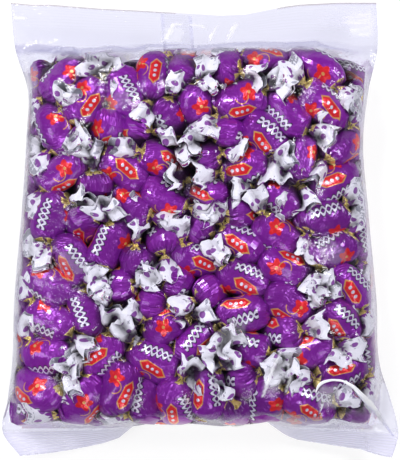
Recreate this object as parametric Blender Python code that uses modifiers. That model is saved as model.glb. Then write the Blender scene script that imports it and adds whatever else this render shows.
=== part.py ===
"""A clear heat-sealed bag packed full of twist-wrapped sweets, lying on its back.

Metres, +Z up. +Y points to the bag's flat header, the bag rests on z = 0, and the
origin is the middle of its underside. The bag is one solid: a core a little inside
the film, with the header and the foot seal as thin flat ends, and the wrapped sweets
that press against the film fused onto it at their true size.
"""

import math

import bmesh
import bpy
import numpy as np
from mathutils import Matrix, Vector

MM = 0.001

# The bag, lying flat. Stations run from the foot to the header: y, film left, film right,
# filled part left, filled part right.
BAG_LONG = 254 * MM
STATIONS = (
    (-127, -101.0, 108.0, -96.0, 93.0),
    (-115, -110.2, 111.2, -101.0, 95.0),
    (-95, -108.0, 107.0, -103.5, 98.0),
    (-78, -105.8, 101.5, -103.8, 98.6),
    (-40, -104.4, 99.2, -102.4, 97.0),
    (8, -100.4, 94.8, -98.6, 93.0),
    (54, -97.4, 91.8, -95.6, 90.0),
    (78, -96.6, 94.6, -94.6, 92.4),
    (102, -103.8, 99.6, -97.0, 95.0),
    (127, -106.4, 99.2, -98.0, 95.0),
)
FILL_FOOT = -109 * MM
FILL_HEAD = 102 * MM
FOOT_SLOPE = 24 * MM
HEAD_SLOPE = 36 * MM
CROWN_HEIGHT = 54 * MM
SEAM_HEIGHT = 22 * MM
FRONT_SQUARENESS = 5.5
BACK_SQUARENESS = 7
BACK_FLATNESS = 1.12
END_SQUARENESS = 2.4

HEADER_SAG = 7.5 * MM
HEADER_DROOP = 5 * MM
SEAL_TUCK = math.radians(100)
SEAL_EARS = (-0.62, -0.30, 0.30, 0.56)
PLATE = 1.4 * MM

# The core that carries the sweets lies this far inside the film, and this far inside its edge.
CORE_INSET = 9 * MM
CORE_MARGIN = 7 * MM
CORE_COLUMNS = 10
HEADER_ROWS = 2
FILL_ROWS = 10
SEAL_ROWS = 2

# A sweet: a plump body with a twisted end, or fan, at each side.
SWEETS = 200
BODY_LONG, BODY_WIDE, BODY_THICK = 29.5 * MM, 21 * MM, 18 * MM
FAN_LONG, FAN_WIDE, FAN_THICK = 14 * MM, 15 * MM, 4 * MM
NECK_WIDE = 4.5 * MM
BODY_SIDES, BODY_RINGS = 6, 4
FAN_SIDES = 4
SHOWN_DEPTH = 4 * MM  # a piece deeper than this under the film is left out
SINK = 1.4 * MM  # the lowest sweets lie this far below the table, which then flattens them

# How the sweets are packed: each is two end balls and a middle ball, with a ball for each fan.
LAYERS = ((10, 0.30), (27, 0.32), (44, 0.38))  # height in mm, share of the sweets
TILT = 0.28  # how far the sweets first lean, as a deviation in radians
END_APART = 6.4 * MM  # from the middle ball to each end ball
BALLS = np.array([8.4, 8.4, 4.8, 4.8, 9.6]) * MM  # radii: the ends, the fans, the middle
FAN_REACH = 14 * MM
FAN_BEND = 2 * MM
FAN_PULL = 0.08  # how much of a fan's pull its body takes
FAN_OUT = 0.45 * FAN_REACH  # a fan's least way out past its end of the body
FAN_OVERLAP = 0.75  # two fans may press into each other down to this share of their distance
BODY_GIVE = 0.35  # how readily a body gives way, next to a fan's 1
MOST_MOVE = 2 * MM  # in one round, by the film
PLACE_TRIES = 24
PAIR_ROUNDS = 8
ROUNDS = 260
LIFT = 0.3 * MM
SEED = 7

FILM_COLOUR = (0.36, 0.10, 0.52, 1.0)


def through(y, column):
    """A smooth curve through one column of the stations, read at y."""
    table = np.array(STATIONS)
    ys, values = table[:, 0] * MM, table[:, column] * MM
    slopes = np.gradient(values, ys)
    k = np.clip(np.searchsorted(ys, y) - 1, 0, len(ys) - 2)
    span = ys[k + 1] - ys[k]
    t = np.clip((y - ys[k]) / span, 0, 1)
    bend = t * t * (3 - 2 * t)
    enter, leave = t * (1 - t) ** 2, t * t * (t - 1)
    return (
        values[k] * (1 - bend)
        + values[k + 1] * bend
        + (enter * slopes[k] + leave * slopes[k + 1]) * span
    )


def fullness(x, y, squareness, margin):
    """How full the bag is at a place in plan: 1 in the middle, 0 at the edge of the filled part.

    A margin gives the fullness of a core that ends this far inside that edge.
    """
    left, right = through(y, 3) + margin, through(y, 4) - margin
    across = np.clip((2 * x - left - right) / (right - left), -1, 1)
    head = np.clip((FILL_HEAD - margin - y) / HEAD_SLOPE, 0, 1)
    foot = np.clip((y - FILL_FOOT - margin) / FOOT_SLOPE, 0, 1)
    rise = 1.0
    for end in (head, foot):
        rise = rise * np.sqrt(np.maximum(1 - (1 - end) ** END_SQUARENESS, 0))
    return rise * np.sqrt(np.maximum(1 - np.abs(across) ** squareness, 0))


def front(x, y, margin=0.0):
    """Height of the film on the shown side."""
    full = fullness(x, y, FRONT_SQUARENESS, margin)
    return SEAM_HEIGHT + (CROWN_HEIGHT - SEAM_HEIGHT) * full


def back(x, y, margin=0.0):
    """Height of the film underneath, which lies flat on the table over most of the bag."""
    full = fullness(x, y, BACK_SQUARENESS, margin)
    return SEAM_HEIGHT * (1 - np.minimum(full * BACK_FLATNESS, 1))


def core_heights(x, y):
    """Heights of the core's two sides, which meet where the bag is too thin to have one."""
    top, under = front(x, y, CORE_MARGIN) - CORE_INSET, back(x, y, CORE_MARGIN) + CORE_INSET
    middle = (top + under) / 2
    return max(top, middle + PLATE / 2), min(under, middle - PLATE / 2)


def film_room(points, wall, side):
    """How far points are inside a wall of film, below it (1) or above it (-1), and the way out."""
    step = 1 * MM
    x, y = points[:, 0], points[:, 1]
    slope_x = (wall(x + step, y) - wall(x - step, y)) / (2 * step)
    slope_y = (wall(x, y + step) - wall(x, y - step)) / (2 * step)
    steep = side * np.sqrt(slope_x**2 + slope_y**2 + 1)
    way = np.stack([-slope_x, -slope_y, np.ones_like(x)], 1) / steep[:, None]
    return (wall(x, y) - points[:, 2]) / steep, way


def pressed_in(balls, radii, wall, side):
    """How far balls are moved by a wall of film that they stand out of."""
    room, way = film_room(balls, wall, side)
    return -way * np.clip(radii - room, 0, MOST_MOVE)[:, None]


def kept_in_plan(ends):
    """Moves the balls that left the filled part's outline back to it."""
    x, y = ends[..., 0], ends[..., 1]
    ends[..., 1] = np.clip(y, FILL_FOOT + 4 * MM, FILL_HEAD - 3 * MM)
    ends[..., 0] = np.clip(x, through(y, 3) + 3 * MM, through(y, 4) - 3 * MM)


def scattered(draw):
    """The sweets' first places: even layers, each new sweet as far from the others as it gets."""
    places = []
    for height, share in LAYERS:
        layer = []
        while len(layer) < round(SWEETS * share):
            tries = draw.uniform((-105, -108), (105, 98), (PLACE_TRIES, 2)) * MM
            x, y = tries[:, 0], tries[:, 1]
            fits = (front(x, y) > (height + 6) * MM) & (back(x, y) < (height - 6) * MM)
            tries = tries[fits]
            if not len(tries):
                continue
            if layer:
                gaps = np.array(layer)[None, :, :] - tries[:, None, :]
                tries = tries[[np.argmax((gaps**2).sum(2).min(1))]]
            layer.append(tries[0])
        places += [(x, y, height * MM) for x, y in layer]
    return np.array(places)


def held_apart(ends, a, b, length, share):
    """Brings two balls of each sweet to their distance, moving the first by its share."""
    gap = ends[:, b] - ends[:, a]
    long = np.sqrt((gap**2).sum(1, keepdims=True)) + 1e-9
    excess = gap / long * (long - length)
    ends[:, a] += excess * share
    ends[:, b] -= excess * (1 - share)


def near_pairs(balls, radii, owner, soft):
    """Pairs of balls of different sweets that may touch, with their distance and shares."""
    gaps = sum((balls[:, None, k] - balls[None, :, k]) ** 2 for k in range(3))
    reach = radii[:, None] + radii[None, :] + 5 * MM
    i, j = np.nonzero(np.triu(gaps < reach**2, 1))
    apart = owner[i] != owner[j]
    i, j = i[apart], j[apart]
    want = (radii[i] + radii[j]) * np.where(soft[i] & soft[j], FAN_OVERLAP, 1.0)
    give = np.where(soft, 1.0, BODY_GIVE)
    return i, j, want, give[i] / (give[i] + give[j])


def packed():
    """Where the sweets lie: for each, its two end balls and its two fans' balls."""
    draw = np.random.default_rng(SEED)
    middle = scattered(draw)
    count = len(middle)
    top = middle[:, 2] == LAYERS[-1][0] * MM
    turn, tilt = draw.uniform(0, np.pi, count), draw.normal(0, TILT, count)
    axis = np.stack([np.cos(turn) * np.cos(tilt), np.sin(turn) * np.cos(tilt), np.sin(tilt)], 1)
    bends = draw.normal(0, FAN_BEND, (2, count, 3))
    tip = axis * (END_APART + FAN_REACH)
    ends = np.stack(
        [middle - axis * END_APART, middle + axis * END_APART]
        + [middle - tip + bends[0], middle + tip + bends[1]],
        1,
    )
    radii = np.tile(BALLS, count)
    owner = np.repeat(np.arange(count), len(BALLS))
    soft = np.tile([False, False, True, True, False], count)
    for k in range(ROUNDS):
        balls = np.concatenate([ends, ends[:, :2].mean(1, keepdims=True)], 1).reshape(-1, 3)
        if k % PAIR_ROUNDS == 0:
            i, j, want, share = near_pairs(balls, radii, owner, soft)
        gap = balls[j] - balls[i]
        long = np.sqrt((gap**2).sum(1)) + 1e-9
        push = gap / long[:, None] * (np.clip(want - long, 0, None) * 0.5)[:, None]
        move = pressed_in(balls, radii, front, 1) + pressed_in(balls, radii, back, -1)
        for ax in range(3):
            move[:, ax] += np.bincount(j, push[:, ax] * (1 - share), len(balls))
            move[:, ax] -= np.bincount(i, push[:, ax] * share, len(balls))
        move[:, 2] += np.clip(radii - balls[:, 2] - move[:, 2], 0, None)
        move = move.reshape(count, len(BALLS), 3)
        ends += move[:, :4]
        ends[:, :2] += move[:, 4:] * 0.5
        held_apart(ends, 0, 1, 2 * END_APART, 0.5)
        for end, far, fan in ((0, 1, 2), (1, 0, 3)):
            held_apart(ends, end, fan, FAN_REACH, FAN_PULL)
            out = ends[:, end] - ends[:, far]
            out /= np.sqrt((out**2).sum(1, keepdims=True)) + 1e-9
            along = ((ends[:, fan] - ends[:, end]) * out).sum(1)
            ends[:, fan] += out * (np.clip(FAN_OUT - along, 0, None) * 0.5)[:, None]
        ends[top, :, 2] += LIFT
        kept_in_plan(ends)
        ends = np.round(ends, 7)
    ends[..., 2] -= SINK
    return ends


def material(name, colour, roughness):
    made = bpy.data.materials.new(name)
    made.use_nodes = True
    shader = made.node_tree.nodes["Principled BSDF"]
    shader.inputs["Base Color"].default_value = colour
    shader.inputs["Roughness"].default_value = roughness
    shader.inputs["Metallic"].default_value = 0.0
    return made


def linked(name, bm, collection):
    """An object with the bmesh as its mesh."""
    mesh = bpy.data.meshes.new(name)
    bm.to_mesh(mesh)
    bm.free()
    made = bpy.data.objects.new(name, mesh)
    collection.objects.link(made)
    return made


def seal_turn(u):
    """How far the foot seal is turned down at u: flat at the bag's two ears, tucked under between."""
    out_left, in_left, in_right, out_right = SEAL_EARS
    down = np.interp(u, (out_left, in_left, in_right, out_right), (0, 1, 1, 0))
    return SEAL_TUCK * down * down * (3 - 2 * down)


def core_place(u, v):
    """Where the middle surface of the bag lies, and how thick its core is there.

    u runs from side to side. v is in rows: the header, then the filled part, then the foot seal.
    """
    if v <= HEADER_ROWS:
        t = 1 - v / HEADER_ROWS
        y = FILL_HEAD + t * (BAG_LONG / 2 - FILL_HEAD)
        x = np.interp(u, (-1, 1), (through(y, 1), through(y, 2)))
        return Vector((x, y - HEADER_SAG * t * (1 - u * u), SEAM_HEIGHT - HEADER_DROOP * t * t)), PLATE
    t = (1 - math.cos(math.pi * min((v - HEADER_ROWS) / FILL_ROWS, 1))) / 2
    y = FILL_HEAD + t * (FILL_FOOT - FILL_HEAD)
    x = np.interp(u, (-1, 1), (through(y, 1), through(y, 2)))
    if v <= HEADER_ROWS + FILL_ROWS:
        top, under = core_heights(x, y)
        return Vector((x, y, (top + under) / 2)), top - under
    w = (v - HEADER_ROWS - FILL_ROWS) / SEAL_ROWS
    turn, reach = float(seal_turn(u)), w * (BAG_LONG / 2 + FILL_FOOT)
    y = FILL_FOOT - reach
    edges = (through(y, 1), through(y, 2))
    x = x + (np.interp(u, (-1, 1), edges) - x) * math.cos(turn) ** 2
    return Vector((x, FILL_FOOT - reach * math.cos(turn), SEAM_HEIGHT - reach * math.sin(turn))), PLATE


def core(collection):
    """The bag's core, header and foot seal: one open sheet, thickened by what fills it.

    Its rows and columns lie closer together towards the edges, where the bag rounds off.
    """
    rows = HEADER_ROWS + FILL_ROWS + SEAL_ROWS
    bm = bmesh.new()
    bmesh.ops.create_grid(bm, x_segments=CORE_COLUMNS, y_segments=rows, size=1)
    weights = []
    for vert in bm.verts:
        vert.co, thick = core_place(math.sin(vert.co.x * math.pi / 2), (1 - vert.co.y) / 2 * rows)
        weights.append(thick / CROWN_HEIGHT)
    made = linked("core", bm, collection)
    group = made.vertex_groups.new(name="fullness")
    for index, weight in enumerate(weights):
        group.add([index], weight, "REPLACE")
    shell = made.modifiers.new("fill", "SOLIDIFY")
    shell.thickness = CROWN_HEIGHT
    shell.offset = 0
    shell.vertex_group = group.name
    return made


def sweet_frame(start, end):
    """A frame with its x from start to end and its z as near upright as that allows."""
    along = Vector(end - start).normalized()
    flat = Vector((0, 0, 1)).cross(along).normalized()
    turned = Matrix((along, flat, along.cross(flat))).transposed().to_4x4()
    return Matrix.Translation(Vector(start)) @ turned


def sweet_body(bm, low, high):
    """The plump body between a sweet's two twists."""
    place = sweet_frame(low, high) @ Matrix.Translation((np.linalg.norm(high - low) / 2, 0, 0))
    size = Matrix.Diagonal((BODY_LONG / 2, BODY_WIDE / 2, BODY_THICK / 2, 1))
    lying = Matrix.Rotation(math.pi / 2, 4, "Y") @ Matrix.Rotation(math.pi / 2, 4, "Z")
    bmesh.ops.create_uvsphere(
        bm, u_segments=BODY_SIDES, v_segments=BODY_RINGS, radius=1, matrix=place @ size @ lying
    )


def sweet_fan(bm, end, fan):
    """A twisted end: narrow at the neck, flaring to a flat fan."""
    size = Matrix.Diagonal((1, 1, FAN_THICK / FAN_WIDE, 1))
    upright = Matrix.Rotation(math.pi / 2, 4, "Y")
    neck = FAN_REACH - FAN_LONG / 2
    place = sweet_frame(end, fan) @ Matrix.Translation((neck + FAN_LONG / 2 - 2 * MM, 0, 0))
    bmesh.ops.create_cone(
        bm,
        cap_ends=True,
        segments=FAN_SIDES,
        radius1=NECK_WIDE / 2,
        radius2=FAN_WIDE / 2,
        depth=FAN_LONG + 4 * MM,
        matrix=place @ size @ upright,
    )


def near_film(middle, thick, wall, side):
    """Whether a piece lies close enough to a wall of film to show through it."""
    room, _ = film_room(middle[None, :], wall, side)
    return room[0] - thick / 2 < SHOWN_DEPTH


def sweet(index, ends, collection):
    """The parts of one wrapped sweet that show through the film, as solids to be fused on.

    Underneath, where the sweets lie flat on the table, only their bodies stand out.
    """
    low, high, fan_low, fan_high = ends
    middle = ends[:2].mean(0)
    if not (near_film(middle, BODY_THICK, front, 1) or near_film(middle, BODY_THICK, back, -1)):
        return
    pieces = [("body", sweet_body, low, high)]
    for name, end, fan in (("fan_low", low, fan_low), ("fan_high", high, fan_high)):
        if near_film(fan, FAN_THICK, front, 1):
            pieces.append((name, sweet_fan, end, fan))
    for name, build, start, end in pieces:
        bm = bmesh.new()
        build(bm, start, end)
        linked(f"sweet_{index}_{name}", bm, collection)


def table(collection):
    """The flat surface that the bag rests on, as a cutter that flattens the lowest sweets."""
    bm = bmesh.new()
    size = Matrix.Diagonal((2 * BAG_LONG, 2 * BAG_LONG, CROWN_HEIGHT, 1))
    place = Matrix.Translation((0, 0, -CROWN_HEIGHT / 2))
    bmesh.ops.create_cube(bm, size=1, matrix=place @ size)
    linked("table", bm, collection)


def joined(target, operation, collection, solver):
    """Applies a Boolean of a whole collection to the target and removes its objects."""
    cut = target.modifiers.new(operation.lower(), "BOOLEAN")
    cut.operation = operation
    cut.operand_type = "COLLECTION"
    cut.collection = collection
    cut.solver = solver
    bpy.context.view_layer.update()
    seen = target.evaluated_get(bpy.context.evaluated_depsgraph_get())
    mesh = bpy.data.meshes.new_from_object(seen)
    target.modifiers.clear()
    target.data = mesh
    for tool in list(collection.objects):
        bpy.data.objects.remove(tool)


def in_one_piece(made):
    """Drops the loose scraps that a fusing leaves, and fills the hollows that it seals."""
    bm = bmesh.new()
    bm.from_mesh(made.data)
    left, bodies = set(bm.verts), []
    while left:
        body = reached = {left.pop()}
        while reached:
            reached = {edge.other_vert(vert) for vert in reached for edge in vert.link_edges} & left
            left -= reached
            body = body | reached
        bodies.append(body)
    scraps = set(bm.verts) - max(bodies, key=len)
    bmesh.ops.delete(bm, geom=list(scraps), context="VERTS")
    bm.to_mesh(made.data)
    bm.free()


def main():
    for old in list(bpy.data.objects):
        bpy.data.objects.remove(old)
    bag = bpy.data.collections.new("sweet_bag")
    tools = bpy.data.collections.new("fused_pieces")
    for collection in (bag, tools):
        bpy.context.scene.collection.children.link(collection)

    body = core(bag)
    body.name = "sweet_bag"
    body.data.materials.append(material("clear_film_over_sweets", FILM_COLOUR, 0.25))
    for index, ends in enumerate(packed()):
        sweet(index, ends, tools)
    joined(body, "UNION", tools, "MANIFOLD")
    table(tools)
    joined(body, "DIFFERENCE", tools, "MANIFOLD")
    in_one_piece(body)


main()
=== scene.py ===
"""Looks of a clear heat-sealed bag packed full of twist-wrapped sweets.

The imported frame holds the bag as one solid. This script puts the real things in its
place: two hundred sweets, each a plump body in a printed wrapper with twisted necks and
crumpled fans, and the clear film that is drawn taut over them, with its flat header, its
back seam, its ribbed foot seal and its creases. Metres, +Z up out of the shown side, +Y
to the header.
"""

import logging
import math
from dataclasses import dataclass, field
from enum import Enum

import bpy
import numpy as np
from mathutils import Matrix, Vector


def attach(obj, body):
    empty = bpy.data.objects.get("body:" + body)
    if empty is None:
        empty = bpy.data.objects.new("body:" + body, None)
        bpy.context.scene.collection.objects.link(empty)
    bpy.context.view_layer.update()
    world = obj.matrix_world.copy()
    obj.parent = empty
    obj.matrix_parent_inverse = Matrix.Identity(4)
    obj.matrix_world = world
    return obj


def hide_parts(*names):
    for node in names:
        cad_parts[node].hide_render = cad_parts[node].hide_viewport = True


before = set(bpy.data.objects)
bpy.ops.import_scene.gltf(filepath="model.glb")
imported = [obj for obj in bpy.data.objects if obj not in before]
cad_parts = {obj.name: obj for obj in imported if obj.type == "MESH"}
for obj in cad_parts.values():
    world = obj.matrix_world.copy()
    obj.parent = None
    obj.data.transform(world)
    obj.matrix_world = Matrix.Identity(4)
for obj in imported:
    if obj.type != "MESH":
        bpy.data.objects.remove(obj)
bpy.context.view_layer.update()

Array = np.ndarray

log = logging.getLogger("sweet_bag")

MM = 0.001
# The photograph's size in pixels, and how much of the bag one pixel shows.
PHOTO_WIDE, PHOTO_HIGH = 400, 460
PIXEL = 0.56 * MM
# How much of a flat sheet one unit of its UV map stands for.
FLAT_UNIT = 0.1
# How many points each ring of a sweet has.
RING = 32
# A height that is below everything, and a length that keeps a division finite.
BELOW_ALL = -1.0
TINY = 1e-9


class Side(Enum):
    """The two sheets of film."""

    FRONT = 1
    BACK = -1


# ---------------- shader tools


class Socket:
    """One value in a shader. Arithmetic on it adds Math nodes."""

    def __init__(self, shader: "Shader", link: bpy.types.NodeSocket) -> None:
        """Wraps an output socket of the shader's tree."""
        self.shader = shader
        self.link = link

    def __add__(self, other: "Socket | float") -> "Socket":
        """The sum of two values."""
        return self.shader.maths("ADD", self, other)

    def __sub__(self, other: "Socket | float") -> "Socket":
        """The difference of two values."""
        return self.shader.maths("SUBTRACT", self, other)

    def __rsub__(self, other: float) -> "Socket":
        """A number less this value."""
        return self.shader.maths("SUBTRACT", other, self)

    def __mul__(self, other: "Socket | float") -> "Socket":
        """The product of two values."""
        return self.shader.maths("MULTIPLY", self, other)

    def __truediv__(self, other: "Socket | float") -> "Socket":
        """The quotient of two values."""
        return self.shader.maths("DIVIDE", self, other)

    def __gt__(self, other: "Socket | float") -> "Socket":
        """1 where this value is the greater one, else 0."""
        return self.shader.maths("GREATER_THAN", self, other)

    def __lt__(self, other: "Socket | float") -> "Socket":
        """1 where this value is the lesser one, else 0."""
        return self.shader.maths("LESS_THAN", self, other)

    def __abs__(self) -> "Socket":
        """The value without its sign."""
        return self.shader.maths("ABSOLUTE", self)

    __radd__ = __add__
    __rmul__ = __mul__


class Shader:
    """The node tree of one material."""

    def __init__(self, name: str) -> None:
        """Starts an empty material of that name."""
        self.material = bpy.data.materials.new(name)
        self.material.use_nodes = True
        self.tree = self.material.node_tree
        self.tree.nodes.clear()

    def node(
        self,
        kind: str,
        values: dict | None = None,
        settings: dict | None = None,
        output: int | str = 0,
    ) -> Socket:
        """Adds a node.

        Args:
            kind: The node's type.
            values: A number, a colour or a Socket for each input that is set.
            settings: The node's own properties, which are set first.
            output: The output that is given back.

        Returns:
            The chosen output.
        """
        made = self.tree.nodes.new(kind)
        for name, value in (settings or {}).items():
            setattr(made, name, value)
        for name, value in (values or {}).items():
            if isinstance(value, Socket):
                self.tree.links.new(value.link, made.inputs[name])
            elif isinstance(value, tuple) and made.inputs[name].type == "RGBA":
                made.inputs[name].default_value = (*value, 1.0)
            else:
                made.inputs[name].default_value = value
        return Socket(self, made.outputs[output])

    def maths(self, operation: str, *values: "Socket | float") -> Socket:
        """A Math node on up to three values."""
        return self.node("ShaderNodeMath", dict(enumerate(values)), {"operation": operation})

    def smooth(self, low: float, high: float, value: Socket) -> Socket:
        """0 at low, 1 at high and smooth between them; low may be the greater one."""
        return self.node(
            "ShaderNodeMapRange",
            {"Value": value, "From Min": low, "From Max": high},
            {"interpolation_type": "SMOOTHSTEP"},
        )

    def mix(
        self, factor: "Socket | float", first: "Socket | tuple", second: "Socket | tuple"
    ) -> Socket:
        """The colour between two colours."""
        values = {0: factor, 6: first, 7: second}
        return self.node("ShaderNodeMix", values, {"data_type": "RGBA"}, output=2)

    def larger(self, first: Socket, second: "Socket | float") -> Socket:
        """The larger one of two values."""
        return self.maths("MAXIMUM", first, second)

    def smaller(self, first: Socket, second: "Socket | float") -> Socket:
        """The smaller one of two values."""
        return self.maths("MINIMUM", first, second)

    def length(self, x: Socket, y: Socket) -> Socket:
        """The length of a vector of two values."""
        return self.maths("SQRT", x * x + y * y)

    def point(self, x: "Socket | float", y: "Socket | float") -> Socket:
        """A vector of two values."""
        return self.node("ShaderNodeCombineXYZ", {0: x, 1: y})

    def noise(self, place: Socket, scale: float = 1.0, detail: float = 2.0) -> Socket:
        """Soft noise between 0 and 1."""
        values = {"Vector": place, "Scale": scale, "Detail": detail}
        return self.node("ShaderNodeTexNoise", values)

    def cells(
        self, place: Socket, scale: float, feature: str = "F1", spread: float = 1.0
    ) -> Socket:
        """The distance in a pattern of scattered cells."""
        return self.node(
            "ShaderNodeTexVoronoi",
            {"Vector": place, "Scale": scale, "Randomness": spread},
            {"voronoi_dimensions": "2D", "feature": feature},
            output="Distance",
        )

    def attribute(self, name: str) -> Socket:
        """A value that the mesh carries at its points."""
        return self.node("ShaderNodeAttribute", settings={"attribute_name": name}, output="Fac")

    def flat_place(self, uv_map: str) -> tuple[Socket, Socket]:
        """The two coordinates of a UV map."""
        place = self.node("ShaderNodeUVMap", settings={"uv_map": uv_map})
        across = self.node("ShaderNodeSeparateXYZ", {0: place}, output=0)
        along = Socket(self, across.link.node.outputs[1])
        return across, along

    def bump(self, height: Socket, depth: float, strength: float = 1.0) -> Socket:
        """A normal from a height between 0 and 1 that stands for this depth in metres."""
        values = {"Height": height, "Distance": depth, "Strength": strength}
        return self.node("ShaderNodeBump", values)

    def finish(self, surface: Socket) -> bpy.types.Material:
        """Gives the surface to the output and the material back."""
        output = self.tree.nodes.new("ShaderNodeOutputMaterial")
        self.tree.links.new(surface.link, output.inputs["Surface"])
        return self.material


# ---------------- mesh tools


def nothing_selected() -> None:
    """Leaves edit mode and selects nothing."""
    if bpy.context.object is not None and bpy.context.object.mode != "OBJECT":
        bpy.ops.object.mode_set(mode="OBJECT")
    bpy.ops.object.select_all(action="DESELECT")


def places_of(mesh: bpy.types.Mesh) -> Array:
    """The places of a mesh's points, one row each."""
    flat = np.empty(len(mesh.vertices) * 3)
    mesh.vertices.foreach_get("co", flat)
    return flat.reshape(-1, 3)


def put_places(mesh: bpy.types.Mesh, places: Array) -> None:
    """Moves a mesh's points."""
    mesh.vertices.foreach_set("co", places.astype(np.float32).ravel())
    mesh.update()


def carry(mesh: bpy.types.Mesh, name: str, values: Array) -> None:
    """Writes one value for each point of a mesh, for its material to read."""
    made = mesh.attributes.new(name, "FLOAT", "POINT")
    made.data.foreach_set("value", values.astype(np.float32).ravel())


def corner_points(mesh: bpy.types.Mesh) -> Array:
    """Which point lies at each corner of a mesh's faces."""
    points = np.empty(len(mesh.loops), dtype=int)
    mesh.loops.foreach_get("vertex_index", points)
    return points


def put_flat_places(mesh: bpy.types.Mesh, name: str, places: Array) -> None:
    """Writes a UV map, with one place for each corner of a mesh's faces."""
    layer = mesh.uv_layers.new(name=name)
    layer.data.foreach_set("uv", places.astype(np.float32).ravel())


def open_whole() -> None:
    """Opens the active object in edit mode, with all of it selected."""
    bpy.ops.object.mode_set(mode="EDIT")
    bpy.ops.mesh.select_all(action="SELECT")


def thickened(sheet: bpy.types.Object, thickness: float) -> bpy.types.Object:
    """Gives the active sheet a thickness."""
    skin = sheet.modifiers.new("skin", "SOLIDIFY")
    skin.thickness = thickness
    bpy.ops.object.modifier_apply(modifier=skin.name)
    return sheet


def smoothed(piece: bpy.types.Object, degrees: float) -> bpy.types.Object:
    """Shades a piece smoothly, apart from edges that are sharper than this."""
    nothing_selected()
    piece.select_set(True)
    bpy.context.view_layer.objects.active = piece
    bpy.ops.object.shade_smooth_by_angle(angle=math.radians(degrees))
    return piece


def joined(objects: list[bpy.types.Object], name: str) -> bpy.types.Object:
    """Makes several objects one, under a new name."""
    nothing_selected()
    for each in objects:
        each.select_set(True)
    bpy.context.view_layer.objects.active = objects[0]
    bpy.ops.object.join()
    objects[0].name = objects[0].data.name = name
    return objects[0]


def delivered(piece: bpy.types.Object) -> None:
    """Puts a finished piece on the bag, in the solid's place, and reports it."""
    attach(piece, "root")
    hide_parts("sweet_bag")
    log.info("%s: %d faces", piece.name, len(piece.data.polygons))


def wave(turns: Array) -> Array:
    """A zigzag between -1 and 1, once for each turn, which folds flat sheets crisply."""
    return 4 * np.abs(turns - np.floor(turns) - 0.5) - 1


def eased(low: float, high: float, value: Array) -> Array:
    """0 at low, 1 at high and smooth between them."""
    t = np.clip((value - low) / (high - low), 0, 1)
    return t * t * (3 - 2 * t)


def unit(vector: Array) -> Array:
    """The vector at length 1."""
    return vector / np.linalg.norm(vector)


def creased(
    relief: Array | float,
    first: Array,
    second: Array,
    sizes: tuple,
    draw: np.random.Generator,
) -> Array:
    """Adds flats that meet in crisp folds, each set of them in a direction of its own.

    Args:
        relief: The relief that they are added to.
        first: The points' places one way.
        second: Their places the other way.
        sizes: The length and the depth of each set of folds.
        draw: The sweet's own draw of random numbers.

    Returns:
        The new relief.
    """
    for size, depth in sizes:
        way = draw.uniform(0, math.pi)
        across = first * math.cos(way) + second * math.sin(way)
        relief = relief + depth * wave(across / size + draw.uniform())
    return relief


def in_plan(px: float, py: float) -> tuple[float, float]:
    """The place on the bag that a pixel of the photograph shows."""
    return (px - PHOTO_WIDE / 2) * PIXEL, (PHOTO_HIGH / 2 - py) * PIXEL


def line_at(pixels: tuple, x: Array) -> Array:
    """How far up the bag a line through pixels of the photograph lies at x."""
    px, py = np.array(pixels).T
    return np.interp(x, *in_plan(px, py))


# ---------------- the bag's shape


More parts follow.
